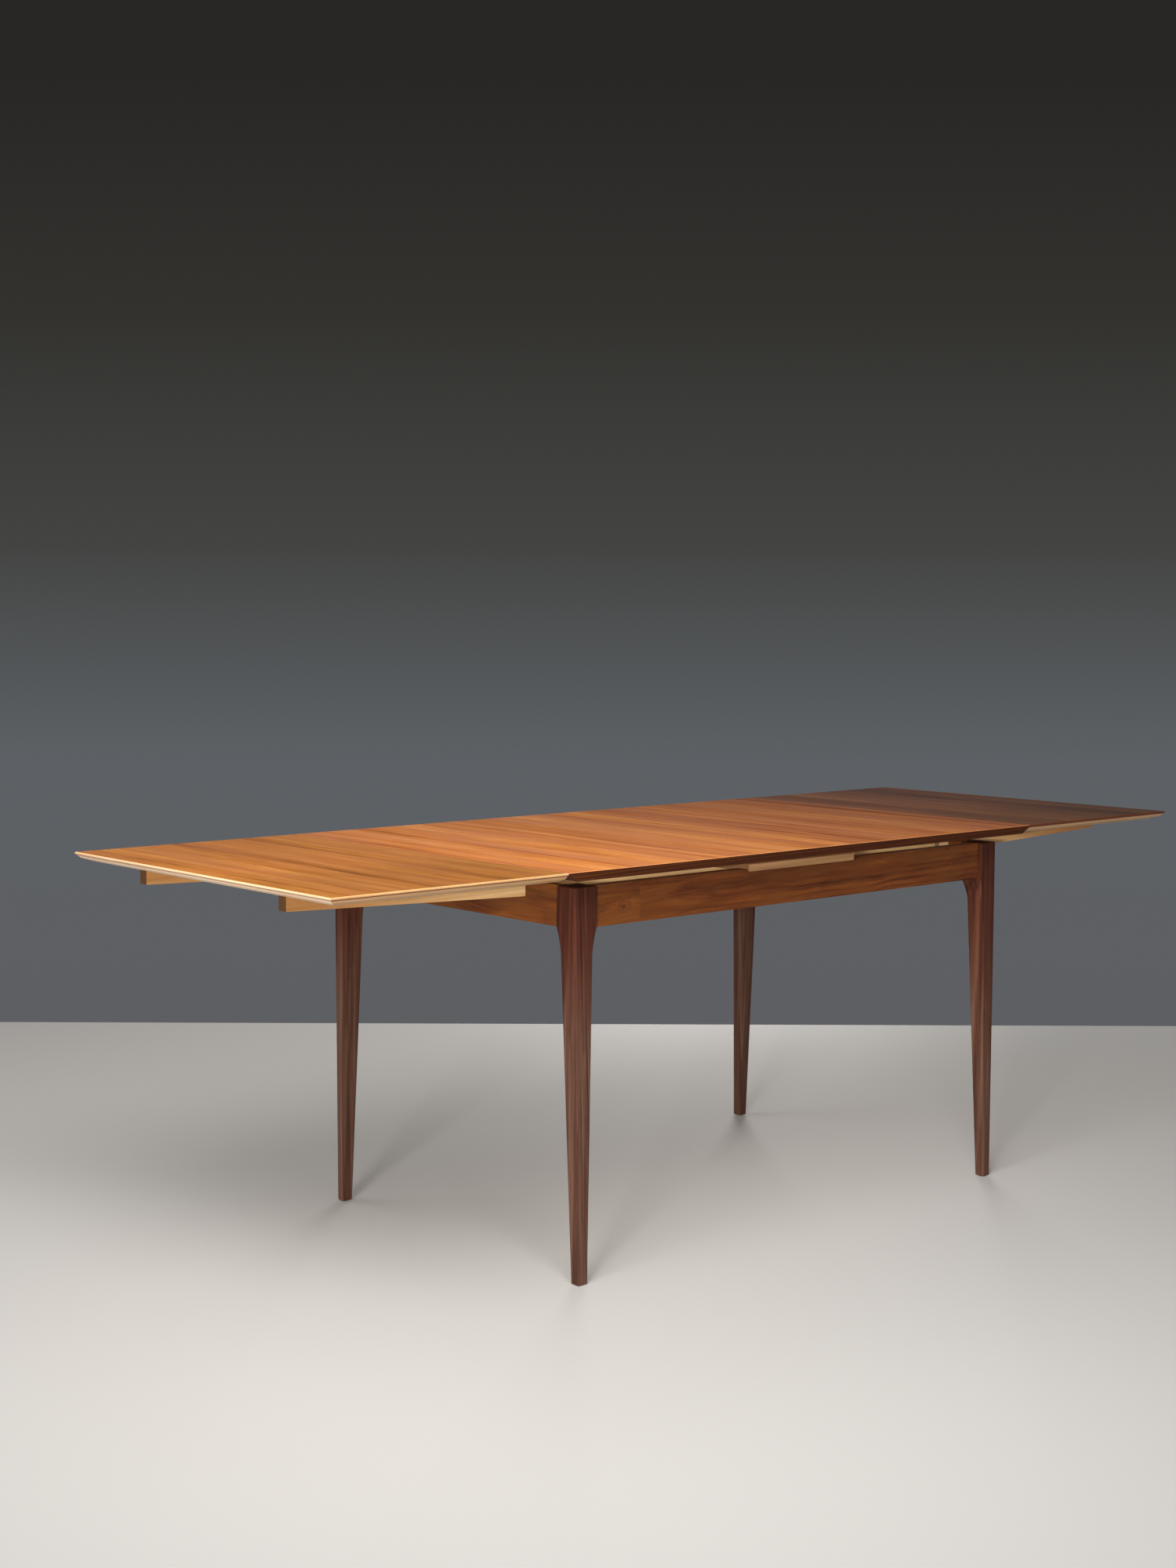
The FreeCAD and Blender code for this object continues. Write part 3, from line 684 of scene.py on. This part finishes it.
def paint(node: str, material: Material) -> None:
    """Give a CAD node its finish.

    Args:
        node: Name of the node.
        material: Finish for its one slot.
    """
    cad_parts[node].material_slots[0].material = material
    LOG.info("dressed %s in %s", node, material.name)


def only(piece: Object) -> None:
    """Make one object the selected and active one.

    Args:
        piece: The object.
    """
    bpy.ops.object.select_all(action="DESELECT")
    piece.select_set(True)
    bpy.context.view_layer.objects.active = piece


def pick_faces(piece: Object, wanted: Callable[[MeshPolygon], bool]) -> None:
    """Go to edit mode with only some faces selected.

    Args:
        piece: Active object.
        wanted: Test that a face has to pass.
    """
    bpy.ops.object.mode_set(mode="EDIT")
    bpy.ops.mesh.select_mode(type="FACE")
    bpy.ops.mesh.select_all(action="DESELECT")
    bpy.ops.object.mode_set(mode="OBJECT")
    for face in piece.data.polygons:
        face.select = wanted(face)
    bpy.ops.object.mode_set(mode="EDIT")


@dataclass
class WoodScrew:
    """Slotted wood screw, head up, with its seat at Z 0."""

    head_radius: float = 4.2
    head_depth: float = 2.6
    crown: float = 0.9
    shank_radius: float = 2.1
    point: float = 4.0
    slot_width: float = 1.1
    slot_depth: float = 1.3
    sides: int = 28
    crown_steps: tuple[tuple[float, float], ...] = ((0.8, 1 / 2), (1.2, 1 / 3), (1.2, 1 / 6))
    tip: float = 0.15
    smooth_angle: float = 32.0

    def model(self, length: float) -> Object:
        """Model the screw.

        Args:
            length: Length under the head.

        Returns:
            The screw, at the origin.
        """
        bpy.ops.object.select_all(action="DESELECT")
        rim = self.head_depth - self.crown
        bpy.ops.mesh.primitive_cylinder_add(vertices=self.sides, radius=self.head_radius * MM,
                                            depth=rim * MM, location=(0, 0, rim * MM / 2))
        screw = bpy.context.active_object
        bpy.ops.object.transform_apply(location=True, rotation=True, scale=True)
        pick_faces(screw, lambda face: face.normal.z > FACING)
        for step, rise in self.crown_steps:
            bpy.ops.mesh.inset(thickness=step * MM)
            bpy.ops.transform.translate(value=(0, 0, rise * self.crown * MM))
        pick_faces(screw, lambda face: face.normal.z < -FACING)
        bpy.ops.mesh.inset(thickness=(self.head_radius - self.shank_radius) * MM)
        bpy.ops.mesh.extrude_region_move(
            TRANSFORM_OT_translate={"value": (0, 0, -(length - self.point) * MM)})
        bpy.ops.mesh.extrude_region_move(TRANSFORM_OT_translate={"value": (0, 0, -self.point * MM)})
        bpy.ops.transform.resize(value=(self.tip, self.tip, 1))
        bpy.ops.object.mode_set(mode="OBJECT")
        self.cut_slot(screw)
        only(screw)
        bpy.ops.object.shade_smooth_by_angle(angle=math.radians(self.smooth_angle))
        return screw

    def cut_slot(self, screw: Object) -> None:
        """Saw the driver's slot across the head.

        Args:
            screw: The screw, at the origin.
        """
        bpy.ops.mesh.primitive_cube_add(size=1, location=(0, 0, self.head_depth * MM))
        saw = bpy.context.active_object
        saw.scale = (3 * self.head_radius * MM, self.slot_width * MM, 2 * self.slot_depth * MM)
        only(screw)
        slot = screw.modifiers.new("slot", "BOOLEAN")
        slot.operation = "DIFFERENCE"
        slot.solver = "EXACT"
        slot.object = saw
        bpy.ops.object.modifier_apply(modifier=slot.name)
        bpy.data.objects.remove(saw)


@dataclass
class ScrewSet:
    """Screws that stand for one CAD node. The slot turns by some degrees from each screw to the next."""

    name: str
    node: str
    body: str
    length: float
    seats: list[tuple[tuple[float, float, float], tuple[float, float, float]]]
    screw: WoodScrew = field(default_factory=WoodScrew)
    slot_turn: float = 47.0

    def build(self, finish: Material) -> None:
        """Model one screw, copy it to each seat and join the copies.

        Args:
            finish: Steel of the screws.
        """
        first = self.screw.model(self.length)
        copies = []
        for count, (seat, way) in enumerate(self.seats):
            copy = first.copy()
            copy.data = first.data.copy()
            bpy.context.collection.objects.link(copy)
            turn = Vector(way).to_track_quat("Z", "X").to_matrix().to_4x4()
            spin = Matrix.Rotation(math.radians(self.slot_turn * count), 4, "Z")
            copy.data.transform(Matrix.Translation(Vector(seat) * MM) @ turn @ spin)
            copies.append(copy)
        bpy.data.objects.remove(first)
        only(copies[0])
        for copy in copies:
            copy.select_set(True)
        bpy.ops.object.join()
        piece = bpy.context.active_object
        piece.name = piece.data.name = self.name
        piece.data.materials.append(finish)
        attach(piece, self.body)
        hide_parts(self.node)
        LOG.info("built %s for %s", self.name, self.node)


@dataclass
class LooseTop:
    """Loose top: a veneered board with dark lippings and two pegs.

    The edge line, a painted highlight, lies past the top's ends, so that only the long edges get it.
    """

    # The pale line along the top's long edges is a painted highlight.
    second_tone: EdgeLine = EdgeLine((640.0, 410.0), "D9945C", 1.6)
    # The top darkens towards its right end: partly painted shade, partly the veneer's own darker tone.
    darker_right_end: Browned = Browned(Axis.LENGTH, 350.0, 1400.0, "E0D6D4", -634.0)

    def dress(self) -> None:
        """Give the top's nodes their woods."""
        cut = Cut(Grain.ACROSS, heart=(900.0, 120.0), lean=0.4)
        paint("top_veneer", TEAK.material("top", cut, second_tone=self.second_tone, browned=self.darker_right_end))
        paint("top_board", GABOON.material("top_board", Cut(Grain.ACROSS, heart=(700.0, 90.0))))
        for side, grain in (("front", Grain.ALONG), ("back", Grain.ALONG), ("left", Grain.ACROSS),
                            ("right", Grain.ACROSS)):
            paint(f"top_lipping_{side}", WALNUT.material(f"lipping_{side}", Cut(grain, heart=(90.0, 40.0))))
        paint("locating_pegs", RAMIN.material("pegs", Cut(Grain.UPRIGHT)))


@dataclass
class DrawLeaf:
    """Draw leaf at one end: a veneered board with pale moulded lippings on two tapered bearers."""

    end: End
    colours: tuple[str, str, str, str]
    haze: str
    # Colour of the line along the veneer's arrises: a pale one is painted highlight over pale lipping wood,
    # a dark one painted shade.
    arris: str
    # Painted shade along the lippings' nose and the quirk under it.
    painted_edge_shade: Browned
    reach: tuple[float, float] = (1121.8, 410.0)
    # Painted shade, darker towards the leaf's front edge.
    handled: Browned = Browned(Axis.WIDTH, 380.0, 660.0, "E0E2D7", 410.0)
    # Colour of the weaker painted shade along the outer lipping's nose.
    outer_edge_shade: str = "BCA082"
    # Painted shade on the bearers, darker towards their outer ends.
    painted_bearer_shade: Browned = Browned(Axis.LENGTH, 560.0, 1040.0, "C6AB8D")
    screw_x: tuple[float, ...] = (1039.8, 860.3, 680.8)
    screw_y: tuple[float, float] = (211.0, -236.0)
    screw_seat: float = 711.0
    screw_length: float = 22.0

    @property
    def body(self) -> str:
        """Name of the CAD body, which the leaf's nodes start with."""
        return f"{self.end.name.lower()}_leaf"

    def dress(self) -> None:
        """Give the leaf's nodes their woods."""
        sign = self.end.value
        name = self.body
        face = replace(TEAK, colours=self.colours, haze_colour=self.haze)
        cut = Cut(Grain.ACROSS, heart=(900.0 + 300 * sign, 160.0), along=400.0 * sign, lean=0.5)
        # The arris line is painted highlight on the left leaf and painted shade on the right; the veneer
        # gets painted shade towards its front edge.
        second_tone = EdgeLine(self.reach, self.arris)
        paint(f"{name}_veneer", face.material(name, cut, second_tone=second_tone, browned=self.handled))
        cut = Cut(Grain.ACROSS, heart=(500.0, 90.0))
        paint(f"{name}_board", GABOON.material(f"{name}_board", cut))
        # The lippings get painted shade along the nose and quirk, weaker on the outer end.
        outer_edge_shade = replace(self.painted_edge_shade, colour=self.outer_edge_shade)
        for side, grain, wood, painted_edge_shade in (
                ("front", Grain.ALONG, BEECH, self.painted_edge_shade), ("back", Grain.ALONG, BEECH, self.painted_edge_shade),
                ("outer", Grain.ACROSS, PALER_BEECH, outer_edge_shade), ("inner", Grain.ACROSS, BEECH, self.painted_edge_shade)):
            cut = Cut(grain, heart=(80.0, 35.0), along=300.0 * sign)
            paint(f"{name}_lipping_{side}", wood.material(f"{name}_{side}", cut, browned=painted_edge_shade))
        # The bearers get painted shade towards their outer ends.
        cut = Cut(Grain.ALONG, heart=(120.0, -500.0))
        for side in ("front", "back"):
            bearer = f"{name}_bearer_{side}"
            paint(bearer, RAMIN.material(bearer, cut, browned=self.painted_bearer_shade))
        cut = Cut(Grain.ALONG, heart=(60.0, -400.0))
        paint(f"{name}_stops", RAMIN.material(f"{name}_stops", cut))

    def build(self, steel: Material) -> None:
        """Model the screws that hold the bearers.

        Args:
            steel: Finish of the screws.
        """
        sign = self.end.value
        name = self.body
        seats = [((sign * x, sign * y, self.screw_seat), (0.0, 0.0, -1.0))
                 for y in self.screw_y for x in self.screw_x]
        screws = ScrewSet(f"{name}_wood_screws", f"{name}_screws", name, self.screw_length, seats)
        screws.build(steel)


@dataclass
class Base:
    """Frame on four legs, with the fixed centre board."""

    block_screw: tuple[float, float, float] = (505.0, 325.0, 668.65)
    block_screw_end: tuple[float, float, float] = (541.0, 289.0, 668.65)
    block_screw_length: float = 27.0
    board_screw: tuple[float, float, float] = (122.0, 349.0, 709.5)
    board_screw_length: float = 34.4
    felt_size: tuple[float, float, float] = (264.0, 30.0, 2.5)
    felt_edge: float = 283.0
    felt_under: float = 720.8
    felt_round: float = 0.7
    felt_nap: float = 0.12
    felt_smooth_angle: float = 50.0
    # Painted shade on the legs, darker and redder towards their heads.
    painted_head_shade: Browned = Browned(Axis.HEIGHT, 380.0, 640.0, "CF9F8C")
    # Height where the painted shade starts on the near right leg.
    lower_shade_from: float = 100.0
    veneer_joint: float = -424.0
    darker_sheet: Browned = Browned(Axis.LENGTH, 135.6, 136.4, "F1EAE6", -560.0)
    knots: tuple[Knot, ...] = (Knot((-462.0, -359.0, 662.0), 5.0), Knot((428.0, -359.0, 702.0), 3.5))

    def dress(self) -> None:
        """Give the base's nodes their finishes. The legs get painted shade towards their heads, which on the
        near right leg starts further down.
        """
        # Painted shade towards the legs' heads; on the near right leg it starts lower.
        lower_head_shade = replace(self.painted_head_shade, start=self.lower_shade_from)
        corners = [(end, side) for end in ("left", "right") for side in ("front", "back")]
        for count, (end, side) in enumerate(corners):
            cut = Cut(Grain.UPRIGHT, heart=(70.0 + 40 * count, 90.0 - 30 * count), lean=0.8)
            browned = lower_head_shade if (end, side) == ("right", "front") else self.painted_head_shade
            paint(f"leg_{end}_{side}", ROSEWOOD.material(f"{end}_{side}", cut, browned=browned))
            paint(f"corner_block_{end}_{side}", RAMIN.material(f"block_{end}_{side}", Cut(Grain.ALONG)))
        cut = Cut(Grain.ALONG, heart=(330.0, -690.0), lean=1.6, joint=self.veneer_joint)
        paint("apron_front", FLAMED_TEAK.material("front", cut, self.knots, browned=self.darker_sheet))
        cut = Cut(Grain.ALONG, heart=(-330.0, -690.0), lean=-1.4)
        paint("apron_back", FLAMED_TEAK.material("back", cut))
        for end in End:
            name = end.name.lower()
            cut = Cut(Grain.ACROSS, heart=(end.value * 200.0, -640.0), lean=0.7)
            paint(f"apron_{name}", FLAMED_TEAK.material(name, cut))
        paint("centre_board", CHESTNUT.material("centre_board", Cut(Grain.ALONG, heart=(150.0, -660.0))))
        paint("centre_rail", RAMIN.material("centre_rail", Cut(Grain.ACROSS, heart=(100.0, -600.0))))
        paint("foot_glides", MouldedPlastic().material())

    def build(self, steel: Material) -> None:
        """Model the screws and the felt.

        Args:
            steel: Finish of the screws.
        """
        corners = [(sx, sy) for sx in (-1, 1) for sy in (-1, 1)]
        seats = []
        for sx, sy in corners:
            x, y, z = self.block_screw_end
            seats.append(((sx * x, sy * y, z), (-sx, 0.0, 0.0)))
            x, y, z = self.block_screw
            seats.append(((sx * x, sy * y, z), (0.0, -sy, 0.0)))
        screws = ScrewSet("corner_wood_screws", "corner_screws", "base", self.block_screw_length, seats)
        screws.build(steel)
        x, y, z = self.board_screw
        seats = [((sx * x, sy * y, z), (0.0, 0.0, 1.0)) for sx, sy in corners]
        screws = ScrewSet("board_wood_screws", "board_screws", "base", self.board_screw_length, seats)
        screws.build(steel)
        self.build_felt()

    def build_felt(self) -> None:
        """Model the two felt strips on the centre board."""
        finish = WoolFelt().material()
        long, wide, thick = self.felt_size
        for side, name in ((-1, "felt_strip_front"), (1, "felt_strip_back")):
            bpy.ops.object.select_all(action="DESELECT")
            centre = (0, side * (self.felt_edge + wide / 2) * MM, (self.felt_under + thick / 2) * MM)
            bpy.ops.mesh.primitive_cube_add(size=1, location=centre)
            felt = bpy.context.active_object
            felt.name = felt.data.name = name
            felt.scale = (long * MM, wide * MM, thick * MM)
            bpy.ops.object.transform_apply(location=True, rotation=True, scale=True)
            pick_faces(felt, lambda face: face.normal.z > FACING)
            bpy.ops.mesh.bevel(offset=self.felt_round * MM, segments=3, affect="EDGES")
            pick_faces(felt, lambda face: True)
            bpy.ops.mesh.subdivide(number_cuts=5)
            pick_faces(felt, lambda face: face.normal.z > ROUNDED)
            bpy.ops.transform.vertex_random(offset=self.felt_nap * MM, uniform=0.0, normal=0.0, seed=5)
            bpy.ops.object.mode_set(mode="OBJECT")
            bpy.ops.object.shade_smooth_by_angle(angle=math.radians(self.felt_smooth_angle))
            felt.data.materials.append(finish)
            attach(felt, "base")
            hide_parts("felt_strips")
            LOG.info("built %s for felt_strips", name)


@dataclass(frozen=True)
class Lamp:
    """Soft lamp, aimed at a height over the middle of the floor. Gloss shows it where it shines."""

    name: str
    place: tuple[float, float, float]
    size: tuple[float, float]
    power: float
    colour: str
    shines: bool = True
    aim: float = 600.0

    def hang(self) -> None:
        """Hang the lamp."""
        data = bpy.data.lights.new(self.name, "AREA")
        data.shape = "RECTANGLE"
        data.size, data.size_y = (side * MM for side in self.size)
        data.energy = self.power
        data.color = linear(self.colour)[:3]
        lamp = bpy.data.objects.new(self.name, data)
        bpy.context.scene.collection.objects.link(lamp)
        lamp.location = Vector(self.place) * MM
        way = Vector((0, 0, self.aim * MM)) - lamp.location
        lamp.rotation_euler = way.to_track_quat("-Z", "Y").to_euler()
        lamp.visible_glossy = self.shines


@dataclass
class Studio:
    """Camera, lamps, floor and backdrop."""

    eye: tuple[float, float, float] = (-3018.3, -3166.9, 1194.0)
    yaw: float = 41.349
    pitch: float = -4.736
    roll: float = 0.2014
    focal_pixels: float = 2760.8
    image_height: float = 2000.0
    sensor: float = 36.0
    floor_size: float = 40000.0
    floor_colour: str = "C4C3C2"
    wall_distance: float = 1734.0
    wall_span: float = 2600.0
    wall_height: float = 6000.0
    # Glow of the walls by height, in millimetres: painted light, lighter near the floor and darker upwards.
    wall_shades: tuple[tuple[float, str], ...] = (
        (0.0, "5E5F62"), (750.0, "5D6165"), (1350.0, "444543"), (2000.0, "33322F"), (2650.0, "282725"))
    fill: float = 0.22
    fill_colour: str = "F6F3EE"
    # The front lamp is in line with the slit under the top, and lights what lies in it. Gloss doesn't show
    # it, because it would draw a white line along the left leaf's outer edge, seen from below.
    lamps: tuple[Lamp, ...] = (
        Lamp("key", (-1550.0, -1120.0, 2100.0), (1900.0, 800.0), 62.0, "FFFBF6"),
        Lamp("back", (-1400.0, 1800.0, 3000.0), (1500.0, 1500.0), 14.0, "FFFCF8"),
        Lamp("low", (3800.0, 3600.0, 520.0), (1600.0, 400.0), 170.0, "FFFCF8"),
        Lamp("front", (-7600.0, -5200.0, 1544.0), (1500.0, 280.0), 780.0, "FFFBF6", shines=False),
    )

    def build(self) -> None:
        """Set the stage."""
        self.camera()
        self.floor()
        self.walls()
        self.world()
        for lamp in self.lamps:
            lamp.hang()
        bpy.context.scene.view_settings.view_transform = "Standard"

    def camera(self) -> None:
        """Put the camera where the photograph was taken from."""
        yaw, pitch, roll = (math.radians(a) for a in (self.yaw, self.pitch, self.roll))
        flat = math.cos(pitch)
        ahead = Vector((math.sin(yaw) * flat, math.cos(yaw) * flat, math.sin(pitch)))
        level = Vector((math.cos(yaw), -math.sin(yaw), 0.0))
        up = level.cross(ahead)
        right = math.cos(roll) * level + math.sin(roll) * up
        top = right.cross(ahead)
        data = bpy.data.cameras.new("camera")
        data.sensor_width = self.sensor
        data.lens = self.focal_pixels / self.image_height * self.sensor
        camera = bpy.data.objects.new("camera", data)
        bpy.context.scene.collection.objects.link(camera)
        turn = Matrix((right, top, -ahead)).transposed().to_4x4()
        camera.matrix_world = Matrix.Translation(Vector(self.eye) * MM) @ turn
        bpy.context.scene.camera = camera

    def floor(self) -> None:
        """Lay a pale floor that can't be seen from below."""
        bpy.ops.object.select_all(action="DESELECT")
        bpy.ops.mesh.primitive_plane_add(size=self.floor_size * MM)
        plane = bpy.context.active_object
        plane.name = "floor"
        material, tree = new_tree("pale_floor")
        pale = add_node(tree, "ShaderNodeBsdfPrincipled", {
            "Base Color": linear(self.floor_colour), "Roughness": 0.8, "Specular IOR Level": 0.2})
        self.one_sided(tree, pale.outputs[0])
        plane.data.materials.append(material)

    def walls(self) -> None:
        """Stand four grey walls square to the camera, which neither catch light nor stop it, and glow with
        painted light: lighter near the floor, darker upwards.
        """
        bpy.ops.object.select_all(action="DESELECT")
        bpy.ops.mesh.primitive_cube_add(size=1, location=(0, 0, self.wall_height * MM / 2))
        room = bpy.context.active_object
        room.name = "walls"
        room.scale = (2 * self.wall_span * MM, 2 * self.wall_distance * MM, self.wall_height * MM)
        room.rotation_euler = (0, 0, -math.radians(self.yaw))
        bpy.ops.object.transform_apply(location=True, rotation=True, scale=True)
        pick_faces(room, lambda face: abs(face.normal.z) > FACING)
        bpy.ops.mesh.delete(type="FACE")
        bpy.ops.mesh.select_all(action="SELECT")
        bpy.ops.mesh.flip_normals()
        bpy.ops.object.mode_set(mode="OBJECT")
        material, tree = new_tree("grey_wall")
        place = add_node(tree, "ShaderNodeTexCoord")
        height = add_node(tree, "ShaderNodeSeparateXYZ", {0: place.outputs["Object"]})
        share = add_node(tree, "ShaderNodeMath", {0: height.outputs[2], 1: self.wall_height * MM},
                         operation="DIVIDE")
        ramp = add_node(tree, "ShaderNodeValToRGB", {0: share.outputs[0]})
        fill_ramp(ramp, [(z / self.wall_height, code) for z, code in self.wall_shades])
        glow = add_node(tree, "ShaderNodeEmission", {"Color": ramp.outputs[0]})
        self.one_sided(tree, glow.outputs[0])
        room.data.materials.append(material)
        room.visible_diffuse = False
        room.visible_shadow = False

    def one_sided(self, tree: NodeTree, shader: NodeSocket) -> None:
        """End a tree with a shader that is clear from behind.

        Args:
            tree: Tree that takes the nodes.
            shader: What the front side shows.
        """
        side = add_node(tree, "ShaderNodeNewGeometry")
        clear = add_node(tree, "ShaderNodeBsdfTransparent")
        both = add_node(tree, "ShaderNodeMixShader", {
            0: side.outputs["Backfacing"], 1: shader, 2: clear.outputs[0]})
        add_node(tree, "ShaderNodeOutputMaterial", {"Surface": both.outputs[0]})

    def world(self) -> None:
        """Show a plain grey backdrop, and light the table softly from all round."""
        world = bpy.data.worlds.new("studio")
        bpy.context.scene.world = world
        world.use_nodes = True
        tree = world.node_tree
        tree.nodes.clear()
        rays = add_node(tree, "ShaderNodeLightPath")
        seen = add_node(tree, "ShaderNodeMath", {
            0: rays.outputs["Is Camera Ray"], 1: rays.outputs["Is Glossy Ray"]}, operation="MAXIMUM")
        shown = add_node(tree, "ShaderNodeMath", {
            0: seen.outputs[0], 1: rays.outputs["Is Transmission Ray"]}, operation="MAXIMUM")
        soft = add_node(tree, "ShaderNodeBackground", {
            "Color": linear(self.fill_colour), "Strength": self.fill})
        dark = linear(self.wall_shades[-1][1])
        plain = add_node(tree, "ShaderNodeBackground", {"Color": dark, "Strength": 1.0})
        both = add_node(tree, "ShaderNodeMixShader", {
            0: shown.outputs[0], 1: soft.outputs[0], 2: plain.outputs[0]})
        add_node(tree, "ShaderNodeOutputWorld", {"Surface": both.outputs[0]})


def main() -> None:
    """Build the stage and dress the table."""
    logging.basicConfig(level=logging.INFO, format="%(name)s: %(message)s")
    Studio().build()
    steel = ZincSteel().material()
    LooseTop().dress()
    leaves = (
        # The left leaf's pale arris colour is painted highlight over pale lipping wood, the right leaf's
        # dark one painted shade; each leaf's height tint is painted shade at the nose.
        DrawLeaf(End.LEFT, ("7C400F", "B26B24", "CA7E35", "E2A04E"), haze="B87140", arris="F0C894",
                 painted_edge_shade=Browned(Axis.HEIGHT, 1.5, 0.6, "967350", 735.2)),
        DrawLeaf(End.RIGHT, ("522A12", "7F4825", "955935", "B07347"), haze="865438", arris="74442A",
                 painted_edge_shade=Browned(Axis.HEIGHT, 5.2, 4.0, "7C5038", 739.0)),
    )
    for leaf in leaves:
        leaf.dress()
        leaf.build(steel)
    base = Base()
    base.dress()
    base.build(steel)


if __name__ == "__main__":
    main()
